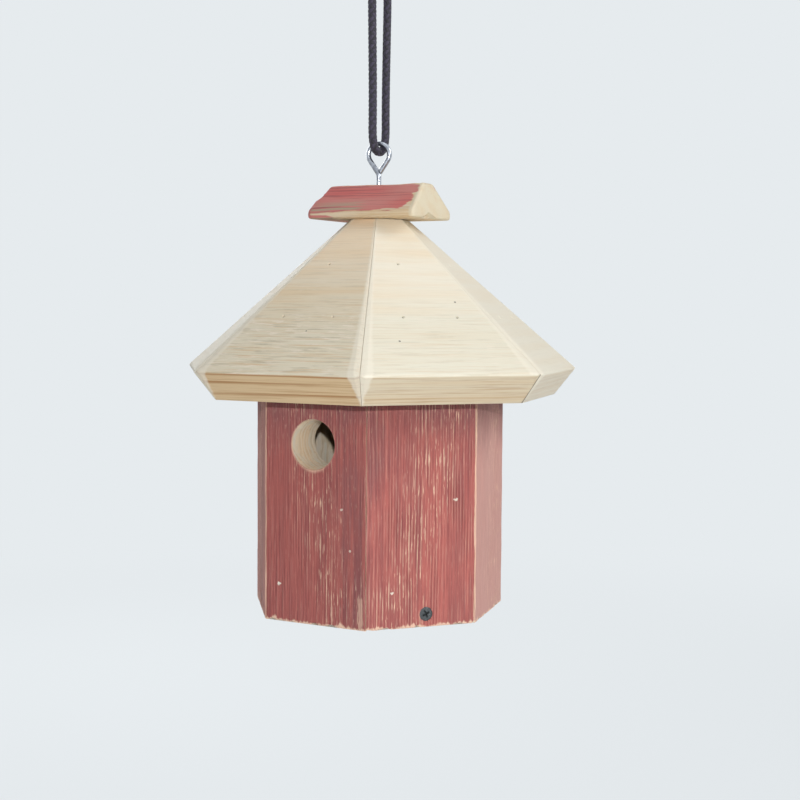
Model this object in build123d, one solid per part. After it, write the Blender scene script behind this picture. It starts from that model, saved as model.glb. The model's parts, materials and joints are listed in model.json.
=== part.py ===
from build123d import *
import math
import os

# Seven-sided hanging birdhouse. Millimetres and degrees.
# Every height below starts at the bottom of the walls. The finished pieces are lowered at the end, so that
# the origin is the place where a hook carries the cord loop. The entrance faces -Y.
# A board that faces -Y is at azimuth 0, and azimuth grows towards +X.

# Walls
SIDES = 7
WALL_FACE = 68.2  # outside width of one board
WALL_THICKNESS = 24.5
WALL_HEIGHT = 156.0  # outside height, up to the underside of the roof
GLUE_LINE = 0.2  # open line at each glued joint
ENTRANCE_DIAMETER = 28.6  # wren hole, 1 1/8 inch
ENTRANCE_HEIGHT = 104.0
ENTRANCE_SHIFT = -1.5  # off the middle of its board

# Floor and its screws
FLOOR_THICKNESS = 15.0
FLOOR_CLEARANCE = 0.5
DRAIN_CLIP = 3.0  # how far each corner of the floor is cut back, so that water runs out
SCREW_LENGTH = 41.3
SCREW_DIAMETER = 3.5
SCREW_HEAD_DIAMETER = 8.2
SCREW_HEAD_DEPTH = 3.0
SCREW_FLARE = 0.3  # hollow of the curve under the head
SCREW_POINT = 6.0
SCREW_SINK = 0.3  # head below the paint
SCREW_CLEARANCE = 0.1
SCREW_SHIFT = 3.0  # off the middle of its board
RECESS_SPAN = 4.6
RECESS_WIDTH = 1.2
RECESS_DEPTH = 1.8

# Roof
ROOF_SLOPE = 42.85
ROOF_THICKNESS = 21.4
EAVE_REACH = 42.2  # from the outside of the walls to the upper edge of the eave
EAVE_LEAN = 38.0  # lean of the eave's cut face from upright
PEAK_FLAT = 16.8  # from the axis to the edge of the flat on top
HIP_EASE = 1.5  # depth sanded off the hips at the eave, running out to nothing at the top
BLOCK_MARGIN = 4.3  # from the inside of the walls to the lower edge of the block in the peak
BLOCK_TIP = 3.0  # from the axis to the upper edge of that block

# Brads through the roof boards: two into the wall below, one into the block in the peak
WALL_BRADS = (-16.0, 17.0)  # along the board
WALL_BRAD_INSET = 6.0  # from the outside of the wall
BLOCK_BRAD = -6.0  # along the board
BLOCK_BRAD_INSET = 10.0  # from the lower edge of the block
BRAD_DIAMETER = 1.3
BRAD_LENGTH = 30.0
BRAD_SINK = 0.8
BRAD_CLEARANCE = 0.05

# Cap
CAP_LENGTH = 74.0
CAP_TOP_LENGTH = 68.2
CAP_WIDTH = 48.0
CAP_TOP_WIDTH = 12.0
CAP_HEIGHT = 21.1
CAP_BAND = 4.5  # upright edge below the slopes
CAP_EASE = 1.2
CAP_CHIP_DEPTH = 3.5  # chip under the right-hand end
CAP_CHIP_LENGTH = 14.0
CAP_CHIP_WIDTH = 40.0
CAP_CHIP_SHIFT = -5.0  # the chip's highest place, off the middle

# Screw eye
EYE_WIRE = 3.0
EYE_RING_RADIUS = 6.6  # to the middle of the wire
EYE_STAND = 18.2  # from the top of the cap to the middle of the ring
EYE_NECK = 11.8  # from the middle of the ring to the corner of its neck
EYE_BEND = 5.0
EYE_SHANK = 54.0  # from the neck's corner to the point
EYE_POINT = 7.0
EYE_TURN = 12.0  # azimuth that the ring faces
EYE_END_GAP = 0.5  # from the wire's end to the neck
EYE_CLEARANCE = 0.05

# Cord
CORD_DIAMETER = 4.8
CORD_DROP = 94.0  # from the hook down to the wire that the cord goes round
BIGHT_GAP = 0.4  # under the wire
BIGHT_SIDE = 1.3  # beside the wire
BIGHT_SKEW = 20.0  # turn of the bight from the way that the ring faces
BIGHT_FLAT = 0.3  # straight run of each strand at the bottom of the bight
HOOK_BAR = 6.0  # thickest hook that the loop takes
HOOK_GAP = 0.2
HOOK_AZIMUTH = -28.0  # azimuth of the front strand at the hook
GATHER = 10.0  # height over which the strands close up above the hook
KNOT_LEAD = 6.0  # upright run into the knot
STRAND_GAP = 0.2  # between the strands where they enter the knot
KNOT_BASE_RADIUS = 5.6
KNOT_RADIUS = 7.6
KNOT_TOP_RADIUS = 5.2
KNOT_HEIGHT = 15.0
TAIL_LENGTH = 13.0
ARC_SHARE = 0.45  # of the shorter run beside it, taken up by an arc of the cord

# Sizes that follow from the ones above
HALF = math.pi / SIDES
SLOPE = math.radians(ROOF_SLOPE)
WALL_APOTHEM = WALL_FACE / 2 / math.tan(HALF)
CAVITY_APOTHEM = WALL_APOTHEM - WALL_THICKNESS
UNDER_APEX = WALL_HEIGHT + WALL_APOTHEM * math.tan(SLOPE)
UPPER_APEX = UNDER_APEX + ROOF_THICKNESS / math.cos(SLOPE)
EAVE_APOTHEM = WALL_APOTHEM + EAVE_REACH
BLOCK_REACH = CAVITY_APOTHEM - BLOCK_MARGIN
ROOF_TOP = UPPER_APEX - PEAK_FLAT * math.tan(SLOPE)
CAP_FOOT = ROOF_TOP + GLUE_LINE
CAP_TOP = CAP_FOOT + CAP_HEIGHT
RING_HEIGHT = CAP_TOP + EYE_STAND
WIRE_TOP = RING_HEIGHT + EYE_RING_RADIUS
HOOK_HEIGHT = WIRE_TOP + CORD_DROP
KNOT_BASE = HOOK_HEIGHT + GATHER + KNOT_LEAD
REACH = EAVE_APOTHEM + EAVE_REACH  # past every board, for the shapes that only cut

BOARDS = ("front", "front_right", "right", "back_right", "back_left", "left", "front_left")
SCREWED_BOARDS = ("front_right", "front_left", "back_right")


def azimuth(board):
    return 360 / SIDES * BOARDS.index(board)


def turned(shape, degrees):
    return Rot(0, 0, degrees) * shape


def under_roof(apothem):
    return UNDER_APEX - apothem * math.tan(SLOPE)


def upper_roof(apothem):
    return UPPER_APEX - apothem * math.tan(SLOPE)


def seven_sides(apothem):
    """Outline of a seven-sided piece, with one side towards -Y."""
    return RegularPolygon(apothem, SIDES, major_radius=False, rotation=math.degrees(HALF) - 90)


def upright_plane(degrees):
    """Plane through the axis, with x outwards at an azimuth and y up."""
    turn = math.radians(degrees)
    outward = (math.sin(turn), -math.cos(turn), 0)
    sideways = (-math.cos(turn), -math.sin(turn), 0)
    return Plane((0, 0, 0), x_dir=outward, z_dir=sideways)


def sector():
    """The space of one board, between its two mitre planes."""
    tip = GLUE_LINE / 2 / math.sin(HALF)
    spread = REACH * math.tan(HALF)
    plan = Polyline((0, -tip), (-spread, -REACH - tip), (spread, -REACH - tip), close=True)
    return extrude(make_face(plan), amount=UPPER_APEX)


def mitred_board(profile):
    """A board at azimuth 0 from its outline of (apothem, height) points."""
    outline = upright_plane(0) * make_face(Polyline(*profile, close=True))
    return extrude(outline, amount=REACH, both=True) & sector()


def hip_cutter():
    """What is sanded off the hip at the right of a roof board."""
    hip = 1 / math.cos(HALF)
    low = (EAVE_APOTHEM * hip, upper_roof(EAVE_APOTHEM) - HIP_EASE)
    high = (PEAK_FLAT * hip, ROOF_TOP)
    fall = (high[1] - low[1]) / (low[0] - high[0])
    beyond = (REACH * hip, low[1] - fall * (REACH * hip - low[0]))
    outline = Polyline(high, beyond, (beyond[0], UPPER_APEX), (high[0], UPPER_APEX), close=True)
    face = upright_plane(math.degrees(HALF)) * make_face(outline)
    return extrude(face, amount=REACH, both=True)


def brad_spots():
    """Where the brads of one board leave it, as (along the board, apothem at its underside)."""
    spots = [(along, WALL_APOTHEM - WALL_BRAD_INSET) for along in WALL_BRADS]
    return spots + [(BLOCK_BRAD, BLOCK_REACH - BLOCK_BRAD_INSET)]


def brad(spot, clearance=0.0):
    """A brad in a board at azimuth 0, or its hole, which is open to the outside."""
    along, under = spot
    apothem = under + ROOF_THICKNESS * math.sin(SLOPE)
    place = Plane(
        origin=(along, -apothem, upper_roof(apothem)),
        z_dir=(0, -math.sin(SLOPE), math.cos(SLOPE)),
    )
    head = ROOF_THICKNESS if clearance else -BRAD_SINK
    point = -BRAD_SINK - BRAD_LENGTH - clearance
    rod = Cylinder(BRAD_DIAMETER / 2 + clearance, head - point, align=(Align.CENTER, Align.CENTER, Align.MIN))
    return place * Pos(0, 0, point) * rod


def brad_holes():
    return [brad(spot, BRAD_CLEARANCE) for spot in brad_spots()]


def screw_form(clearance=0.0):
    """A screw, or its hole, with its axis along z and the top of its head at 0."""
    shank = SCREW_DIAMETER / 2 + clearance
    head = SCREW_HEAD_DIAMETER / 2 + clearance
    mouth = SCREW_HEAD_DIAMETER if clearance else 0
    tip = -SCREW_LENGTH - clearance
    waist = ((head + shank) / 2 - SCREW_FLARE, -SCREW_HEAD_DEPTH / 2)
    flare = ThreePointArc((head, 0), waist, (shank, -SCREW_HEAD_DEPTH))
    rest = Polyline(
        (shank, -SCREW_HEAD_DEPTH),
        (shank, tip + SCREW_POINT),
        (0, tip),
        (0, mouth),
        (head, mouth),
    )
    edges = [flare, rest]
    if clearance:
        edges.append(Line((head, mouth), (head, 0)))
    form = revolve(Plane.XZ * make_face(edges), Axis.Z)
    if clearance:
        return form
    bar = Box(RECESS_SPAN, RECESS_WIDTH, 2 * RECESS_DEPTH)
    return form - bar - turned(bar, 90)


def screw_place(board):
    origin = (SCREW_SHIFT, -WALL_APOTHEM + SCREW_SINK, FLOOR_THICKNESS / 2)
    return Rot(0, 0, azimuth(board)) * Plane(origin=origin, z_dir=(0, -1, 0)).location


def wall(board):
    inner = CAVITY_APOTHEM
    profile = (
        (inner, 0),
        (WALL_APOTHEM, 0),
        (WALL_APOTHEM, under_roof(WALL_APOTHEM)),
        (inner, under_roof(inner)),
    )
    solid = mitred_board(profile)
    for hole in brad_holes():
        solid = solid - hole
    if board == "front":
        drill = Plane(origin=(ENTRANCE_SHIFT, 0, ENTRANCE_HEIGHT), z_dir=(0, -1, 0))
        solid = solid - drill * Cylinder(ENTRANCE_DIAMETER / 2, 2 * REACH)
    solid = turned(solid, azimuth(board))
    if board in SCREWED_BOARDS:
        solid = solid - screw_place(board) * screw_form(SCREW_CLEARANCE)
    return solid


def roof_panel(board):
    run = ROOF_THICKNESS / math.cos(SLOPE - math.radians(EAVE_LEAN))
    lean = math.radians(EAVE_LEAN)
    eave = (EAVE_APOTHEM, upper_roof(EAVE_APOTHEM))
    drip = (eave[0] - run * math.sin(lean), eave[1] - run * math.cos(lean))
    profile = ((0, UNDER_APEX), drip, eave, (PEAK_FLAT, ROOF_TOP), (0, ROOF_TOP))
    solid = mitred_board(profile) - hip_cutter() - mirror(hip_cutter(), Plane.YZ)
    for hole in brad_holes():
        solid = solid - hole
    return turned(solid - eye_hole(), azimuth(board))


def floor_board():
    apothem = CAVITY_APOTHEM - FLOOR_CLEARANCE
    corner = apothem / math.cos(HALF) - DRAIN_CLIP
    clipped = seven_sides(apothem) & (Rot(0, 0, math.degrees(HALF)) * seven_sides(corner))
    solid = extrude(clipped, amount=FLOOR_THICKNESS)
    for board in SCREWED_BOARDS:
        solid = solid - screw_place(board) * screw_form(SCREW_CLEARANCE)
    return solid


def peak_block():
    """Block under the peak, bevelled to the underside of the roof boards."""
    gap = GLUE_LINE / math.cos(SLOPE)
    low = Plane.XY.offset(under_roof(BLOCK_REACH) - gap) * seven_sides(BLOCK_REACH)
    high = Plane.XY.offset(under_roof(BLOCK_TIP) - gap) * seven_sides(BLOCK_TIP)
    solid = loft([low, high]) - eye_hole()
    for board in BOARDS:
        for hole in brad_holes():
            solid = solid - turned(hole, azimuth(board))
    return solid


def roof_cap():
    profile = Polyline(
        (-CAP_WIDTH / 2, 0),
        (CAP_WIDTH / 2, 0),
        (CAP_WIDTH / 2, CAP_BAND),
        (CAP_TOP_WIDTH / 2, CAP_HEIGHT),
        (-CAP_TOP_WIDTH / 2, CAP_HEIGHT),
        (-CAP_WIDTH / 2, CAP_BAND),
        close=True,
    )
    solid = extrude(Plane.YZ * make_face(profile), amount=CAP_LENGTH, both=True)
    ends = Polyline(
        (-CAP_LENGTH / 2, 0),
        (CAP_LENGTH / 2, 0),
        (CAP_LENGTH / 2, CAP_BAND),
        (CAP_TOP_LENGTH / 2, CAP_HEIGHT),
        (-CAP_TOP_LENGTH / 2, CAP_HEIGHT),
        (-CAP_LENGTH / 2, CAP_BAND),
        close=True,
    )
    solid = solid & extrude(Plane.XZ * make_face(ends), amount=CAP_WIDTH, both=True)
    solid = chamfer(solid.edges(), CAP_EASE)
    end = CAP_LENGTH / 2
    chip = Polyline(
        (-CAP_CHIP_WIDTH / 2, -CAP_CHIP_DEPTH),
        (CAP_CHIP_WIDTH / 2, -CAP_CHIP_DEPTH),
        (CAP_CHIP_SHIFT, CAP_CHIP_DEPTH),
        close=True,
    )
    mouth = Plane.YZ.offset(end) * make_face(chip)
    solid = solid - loft([mouth, Vertex(end - CAP_CHIP_LENGTH, 0, -CAP_CHIP_DEPTH)])
    return Pos(0, 0, CAP_FOOT) * solid - eye_hole()


def eye_hole():
    neck = RING_HEIGHT - EYE_NECK
    depth = EYE_SHANK + EYE_CLEARANCE
    rod = Cylinder(EYE_WIRE / 2 + EYE_CLEARANCE, depth, align=(Align.CENTER, Align.CENTER, Align.MAX))
    return Pos(0, 0, neck) * rod


def screw_eye():
    """Wire eye, bent in the XZ plane and then turned about its shank."""
    lean = math.asin(EYE_RING_RADIUS / EYE_NECK)
    neck = RING_HEIGHT - EYE_NECK
    bend_run = EYE_BEND * math.tan(lean / 2)
    leg_run = EYE_NECK * math.cos(lean)
    end_run = (EYE_WIRE + EYE_END_GAP) / math.sin(2 * lean)
    up_left = Vector(-math.sin(lean), math.cos(lean))
    down_left = Vector(-math.sin(lean), -math.cos(lean))
    corner = Vector(0, neck)
    left = corner + up_left * leg_run
    right = Vector(-left.X, left.Y)
    shank = Line((0, neck - EYE_SHANK + EYE_POINT), (0, neck - bend_run))
    bend = JernArc(shank @ 1, (0, 1), EYE_BEND, math.degrees(lean))
    leg = Line(bend @ 1, left)
    ring = JernArc(left, up_left, EYE_RING_RADIUS, -180 - 2 * math.degrees(lean))
    end = Line(right, right + down_left * (leg_run - end_run))
    path = Wire([Plane.XZ * edge for edge in (shank, bend, leg, ring, end)])
    section = Plane(path @ 0, z_dir=path % 0) * Circle(EYE_WIRE / 2)
    wire = sweep(section, path)
    point = Cone(0, EYE_WIRE / 2, EYE_POINT, align=(Align.CENTER, Align.CENTER, Align.MIN))
    return turned(wire + Pos(0, 0, neck - EYE_SHANK) * point, EYE_TURN)


def strand_points(front):
    """Route of one strand, from the middle of the bight to the knot."""
    side = 1 if front else -1
    beside = (EYE_WIRE + CORD_DIAMETER) / 2 + BIGHT_SIDE
    low = WIRE_TOP - (EYE_WIRE + CORD_DIAMETER) / 2 - BIGHT_GAP
    bight = math.radians(EYE_TURN - BIGHT_SKEW)
    hook = math.radians(HOOK_AZIMUTH)
    spread = side * beside / math.cos(math.radians(BIGHT_SKEW))
    apart = side * ((HOOK_BAR + CORD_DIAMETER) / 2 + HOOK_GAP)
    close = side * (CORD_DIAMETER + STRAND_GAP) / 2
    return (
        Vector(0, 0, low),
        Vector(spread * math.sin(bight), -spread * math.cos(bight), low),
        Vector(apart * math.sin(hook), -apart * math.cos(hook), HOOK_HEIGHT),
        Vector(close * math.sin(hook), -close * math.cos(hook), HOOK_HEIGHT + GATHER),
        Vector(close * math.sin(hook), -close * math.cos(hook), KNOT_BASE),
    )


def corner_radius(before, corner, after):
    shorter = min((corner - before).length, (after - corner).length)
    turn = math.radians((corner - before).get_angle(after - corner))
    return ARC_SHARE * shorter / math.tan(turn / 2)


def cord_strand(front):
    points = strand_points(front)
    bight_radius = (points[1] - points[0]).length - BIGHT_FLAT
    radii = [bight_radius] + [corner_radius(*points[i - 1 : i + 2]) for i in (2, 3)]
    path = FilletPolyline(*points, radius=radii)
    section = Plane(path @ 0, z_dir=path % 0) * Circle(CORD_DIAMETER / 2)
    tube = sweep(section, path)
    share = tube.volume / (math.pi * CORD_DIAMETER**2 / 4 * path.length)
    print(f"strand length {path.length:.1f}, radii {[round(r, 1) for r in radii]}, volume share {share:.4f}")
    return tube


def hanging_knot():
    """Knot that joins the strands above the hook, with the two cut ends of the cord."""
    bulge = ThreePointArc(
        (KNOT_BASE_RADIUS, 0), (KNOT_RADIUS, KNOT_HEIGHT / 2), (KNOT_TOP_RADIUS, KNOT_HEIGHT)
    )
    sides = Polyline((KNOT_TOP_RADIUS, KNOT_HEIGHT), (0, KNOT_HEIGHT), (0, 0), (KNOT_BASE_RADIUS, 0))
    solid = revolve(Plane.XZ * make_face([bulge, sides]), Axis.Z)
    spread = (CORD_DIAMETER + STRAND_GAP) / 2
    tail = Cylinder(CORD_DIAMETER / 2, TAIL_LENGTH, align=(Align.CENTER, Align.CENTER, Align.MIN))
    for side in (-1, 1):
        solid = solid + Pos(side * spread, 0, KNOT_HEIGHT) * tail
    return Pos(0, 0, KNOT_BASE) * turned(solid, HOOK_AZIMUTH)


def write(node, shape):
    shape = Pos(0, 0, -HOOK_HEIGHT) * shape
    export_step(shape, os.path.join("parts", node + ".step"))


def main():
    os.makedirs("parts", exist_ok=True)
    for board in BOARDS:
        write("wall_" + board, wall(board))
        write("roof_panel_" + board, roof_panel(board))
    for board in SCREWED_BOARDS:
        write("floor_screw_" + board, screw_place(board) * screw_form())
    brads = [turned(brad(spot), azimuth(board)) for board in BOARDS for spot in brad_spots()]
    write("roof_brads", Compound(children=brads))
    write("floor_board", floor_board())
    write("peak_block", peak_block())
    write("roof_cap", roof_cap())
    write("screw_eye", screw_eye())
    write("cord_front_strand", cord_strand(True))
    write("cord_back_strand", cord_strand(False))
    write("hanging_knot", hanging_knot())
    print(f"hook {HOOK_HEIGHT:.2f} above the walls' foot, wire top {WIRE_TOP:.2f}, roof top {ROOF_TOP:.2f}")


main()
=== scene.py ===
import json
import math

import bmesh
import bpy
import numpy as np
from mathutils import Matrix, Vector


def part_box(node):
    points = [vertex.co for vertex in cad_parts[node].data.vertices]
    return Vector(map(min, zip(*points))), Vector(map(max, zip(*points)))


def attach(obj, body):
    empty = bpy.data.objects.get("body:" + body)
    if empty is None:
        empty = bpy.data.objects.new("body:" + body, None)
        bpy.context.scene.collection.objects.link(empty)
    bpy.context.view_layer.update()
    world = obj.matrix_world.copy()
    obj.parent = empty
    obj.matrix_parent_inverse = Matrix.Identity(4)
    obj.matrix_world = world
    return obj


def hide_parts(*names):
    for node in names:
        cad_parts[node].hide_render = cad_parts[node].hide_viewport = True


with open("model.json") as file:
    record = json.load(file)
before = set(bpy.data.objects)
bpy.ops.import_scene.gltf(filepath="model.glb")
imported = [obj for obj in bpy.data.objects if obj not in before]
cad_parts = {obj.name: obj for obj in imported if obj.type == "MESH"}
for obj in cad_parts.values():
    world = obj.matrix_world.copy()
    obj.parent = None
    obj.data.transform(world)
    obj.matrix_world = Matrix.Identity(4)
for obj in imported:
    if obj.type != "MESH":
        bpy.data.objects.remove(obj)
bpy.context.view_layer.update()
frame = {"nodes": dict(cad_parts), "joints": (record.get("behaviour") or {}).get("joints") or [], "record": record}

bl_info = {
    "name": "Seven-sided birdhouse",
    "version": (1, 0, 0),
    "blender": (4, 5, 0),
    "location": "3D View > Sidebar > Birdhouse",
    "description": "Dresses the boards, the hardware and the cord of a hanging birdhouse",
    "category": "Add Mesh",
}

# What the frame gives
RECORD = frame["record"]
BODY = {node: body for body, nodes in RECORD["behaviour"]["bodies"].items() for node in nodes}
OPENING = {opening["name"]: opening["box_m"] for opening in RECORD["physics"]["openings"]}
JOINT = {joint["name"]: joint for joint in frame["joints"]}

# The ring of boards, from the entrance board round towards +X
BOARDS = ("front", "front_right", "right", "back_right", "back_left", "left", "front_left")
SCREWED_BOARDS = ("front_right", "front_left", "back_right")
SIDES = len(BOARDS)
HALF = math.pi / SIDES


def by_board(*values):
    return dict(zip(BOARDS, values))


# How faded the paint of each wall is, where a negative value is painted shade that darkens the board (the entrance
# board), how even its grain, and how rubbed its left and right edges
WALL_FADE_AND_SHADE = by_board(-0.35, 0.05, 0.82, 0.35, 0.1, 0.45, 0.6)
WALL_EVENNESS = by_board(0.5, 1.0, 0.3, 0.7, 0.9, 0.4, 0.5)
EDGE_WEAR = by_board((0.7, 0.3), (0.35, 1.0), (0.4, 0.5), (0.7, 0.4), (0.5, 0.8), (0.4, 0.6), (0.3, 0.5))

# Where the worn and the dirty streak of each wall run: foot, head and width, in half widths from its middle
WORN_STREAK = by_board(
    (0.5, -0.4, 0.36),
    (-0.45, 0.7, 0.46),
    (0.4, 0.2, 0.5),
    (0.8, -0.6, 0.4),
    (-0.2, 0.5, 0.45),
    (0.1, -0.5, 0.5),
    (-0.5, 0.3, 0.4),
)
DIRTY_STREAK = by_board(
    (0.8, 0.7, 0.34),
    (-2.6, -0.3, 0.7),
    (2.5, 1.5, 0.5),
    (-0.5, -0.9, 0.5),
    (0.9, 0.2, 0.5),
    (-0.7, -0.2, 0.5),
    (0.2, 0.9, 0.6),
)

# Chips in the paint: board, place across and up, half width, half height and how far they are bared
PAINT_CHIPS = (
    ("front", -0.0245, 0.0220, 0.0013, 0.0011, 1.0),
    ("front", 0.0180, 0.0680, 0.0013, 0.0008, 0.6),
    ("front", 0.0236, 0.0448, 0.0007, 0.0009, 0.7),
    ("front_right", 0.0209, 0.0726, 0.0015, 0.0010, 0.9),
    ("front_right", -0.0180, 0.0208, 0.0012, 0.0009, 0.8),
    ("back_right", 0.0120, 0.0600, 0.0012, 0.0014, 0.8),
    ("left", -0.0080, 0.0350, 0.0010, 0.0030, 0.7),
)

# Where the entrance board's right corner is rubbed at its foot: place across and up, half width, half height
RUBBED_FOOT = (0.0305, 0.0100, 0.0017, 0.0120)

# How brown the wood of each roof board is, and marks in it: board, place up the slope and along, size
ROOF_TONES = by_board(0.95, 0.1, -0.3, 0.55, 0.3, 0.7, -0.1)
ROOF_MARKS = (
    ("front_right", 0.0583, 0.0196, 0.0007),
    ("front_right", 0.0266, -0.0237, 0.0008),
    ("front", 0.0340, 0.0050, 0.0005),
    ("back_right", 0.0400, 0.0130, 0.0007),
    ("left", 0.0620, -0.0080, 0.0006),
)

# Boards whose joint with the next board to the right has opened at the eave
OPEN_JOINTS = ("front_right", "back_left")

# Evenness of the saw lines
ROOF_EVENNESS = 0.3
CAP_EVENNESS = 0.5

# How far apart neighbouring boards lie in the pattern of the grain, and where the cap lies in it
WALL_SEED = 0.7
ROOF_SEED = 0.9
CAP_SEED = 2.0

# Gloss of the walls, the roof boards and the cap
WOOD_GLOSS = 0.3

# Where brads go through a roof board: along it, and in from the wall's outside or from its inside
WALL_BRADS = (-0.016, 0.017)
WALL_BRAD_INSET = 0.006
BLOCK_BRAD = -0.006
BLOCK_BRAD_INSET = 0.0143

# Radius left at the root of a thread, as a share of the radius over it
SCREW_CORE = 0.64
EYE_CORE = 0.72

# Shares of the cord's diameter: half width and half thickness of a flat yarn, and radius of the core
YARN_WIDTH = 0.2
YARN_THICKNESS = 0.1
ROPE_CORE = 0.34

# Spacing of points along the cord
ROPE_STEP = 0.0008

# Route of the front strand, from the middle of the bight in the eye up to the knot. The bight hangs low
# enough for the braid to clear the eye's wire when the house swings.
FRONT_ROUTE = (
    (0.0, 0.0, -0.0991),
    (-0.00092, -0.0066, -0.0991),
    (-0.00132, -0.00532, -0.0695),
    (-0.00209, -0.0051, -0.0288),
    (-0.00263, -0.00494, 0.0),
    (-0.00117, -0.00221, 0.010),
    (-0.00117, -0.00221, 0.016),
)

# Lamps: name, bearing from the entrance and climb in degrees, distance, diameter and watts
LAMPS = (
    ("key", 95, 29, 1.7, 1.1, 13.2),
    ("front", 30.2, 8.3, 0.95, 0.02, 4.1),
    ("top", 60, 70, 1.7, 1.4, 4),
    ("back", -132, 25, 1.7, 1.2, 17),
)
WORLD_LIGHT = 0.21
WORLD_TINT = (0.96, 0.98, 1.0)


def tint(red, green, blue):
    """Linear colour from display values of 0 to 255."""
    share = [value / 255 for value in (red, green, blue)]
    return tuple(s / 12.92 if s <= 0.04045 else ((s + 0.055) / 1.055) ** 2.4 for s in share)


def number(name, description, value):
    return bpy.props.FloatProperty(name=name, description=description, default=value)


def length(name, description, metres):
    return bpy.props.FloatProperty(
        name=name, description=description, default=metres, unit="LENGTH", precision=5
    )


def angle(name, description, degrees):
    return bpy.props.FloatProperty(
        name=name, description=description, default=math.radians(degrees), subtype="ANGLE"
    )


def colour(name, description, red, green, blue):
    return bpy.props.FloatVectorProperty(
        name=name, description=description, default=tint(red, green, blue), subtype="COLOR", min=0, max=1
    )


class BirdhouseSizes(bpy.types.PropertyGroup):
    """Sizes of the wooden house that the frame's boxes don't give"""

    roof_slope: angle("Roof slope", "Slope of the roof boards", 42.85)
    roof_thickness: length("Roof thickness", "Thickness of the roof boards", 0.0214)
    eave_lean: angle("Eave lean", "Lean of the eave's cut face from upright", 38.0)
    peak_flat: length("Peak flat", "From the axis to the edge of the flat on top", 0.0168)
    hip_ease: length("Hip ease", "Depth sanded off the hips at the eave", 0.0015)
    glue_line: length("Glue line", "Open line at each glued joint", 0.0002)
    arris: length("Arris", "Ease of the boards' edges", 0.0007)
    eave_ease: length("Eave ease", "Rounding of the eave's upper edge", 0.0016)
    entrance: length("Entrance", "Diameter of the entrance", 0.0286)
    wall_grain: length("Wall grain", "Pitch of the raised grain in the walls", 0.00185)
    roof_grain: length("Roof grain", "Pitch of the saw lines in the roof boards", 0.0031)
    wall_relief: length("Wall relief", "Height of the raised grain in the walls", 0.0005)
    roof_relief: length("Roof relief", "Height of the saw lines in the roof boards", 0.00015)
    wall_swell: length("Wall swell", "Unevenness of the walls", 0.0006)
    roof_swell: length("Roof swell", "Unevenness of the roof boards", 0.0004)


class BirdhouseHardware(bpy.types.PropertyGroup):
    """Sizes of the screws, brads, eye and cord"""

    screw_length: length("Screw length", "Length of a floor screw", 0.0413)
    screw_diameter: length("Screw diameter", "Diameter over a floor screw's thread", 0.0035)
    screw_head: length("Screw head", "Diameter of a floor screw's head", 0.0082)
    screw_head_depth: length("Head depth", "Depth of a floor screw's flared head", 0.003)
    screw_pitch: length("Screw pitch", "Pitch of a floor screw's thread", 0.0026)
    screw_point: length("Screw point", "Length of a floor screw's point", 0.006)
    screw_sink: length("Screw sink", "Depth of a floor screw's head under the paint", 0.0003)
    screw_shift: length("Screw shift", "From the middle of a wall to its screw", 0.003)
    screw_height: length("Screw height", "From the foot of a wall to its screw", 0.0075)
    recess_span: length("Recess span", "Width of the cross recess", 0.0046)
    recess_width: length("Recess width", "Width of one slot of the recess", 0.0012)
    recess_depth: length("Recess depth", "Depth of the cross recess", 0.0018)
    brad_diameter: length("Brad diameter", "Diameter of a brad", 0.0013)
    brad_length: length("Brad length", "Length of a brad", 0.030)
    brad_sink: length("Brad sink", "Depth of a brad's head under the wood", 0.0008)
    eye_wire: length("Eye wire", "Thickness of the eye's wire", 0.003)
    eye_ring: length("Eye ring", "From the middle of the ring to the middle of its wire", 0.0066)
    eye_neck: length("Eye neck", "From the middle of the ring to the corner of its neck", 0.0118)
    eye_bend: length("Eye bend", "Radius of the bend in the neck", 0.005)
    eye_shank: length("Eye shank", "From the corner of the neck to the point", 0.054)
    eye_point: length("Eye point", "Length of the eye's point", 0.007)
    eye_thread: length("Eye thread", "Length of the eye's thread, with its point", 0.036)
    eye_pitch: length("Eye pitch", "Pitch of the eye's thread", 0.0018)
    eye_end_gap: length("Eye gap", "From the end of the wire to the neck", 0.0001)
    eye_turn: angle("Eye turn", "Way that the ring faces", 12.0)
    cord_diameter: length("Cord diameter", "Diameter of the cord", 0.0048)
    cord_lay: length("Cord lay", "Length in which a yarn goes once round the cord", 0.016)


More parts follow.
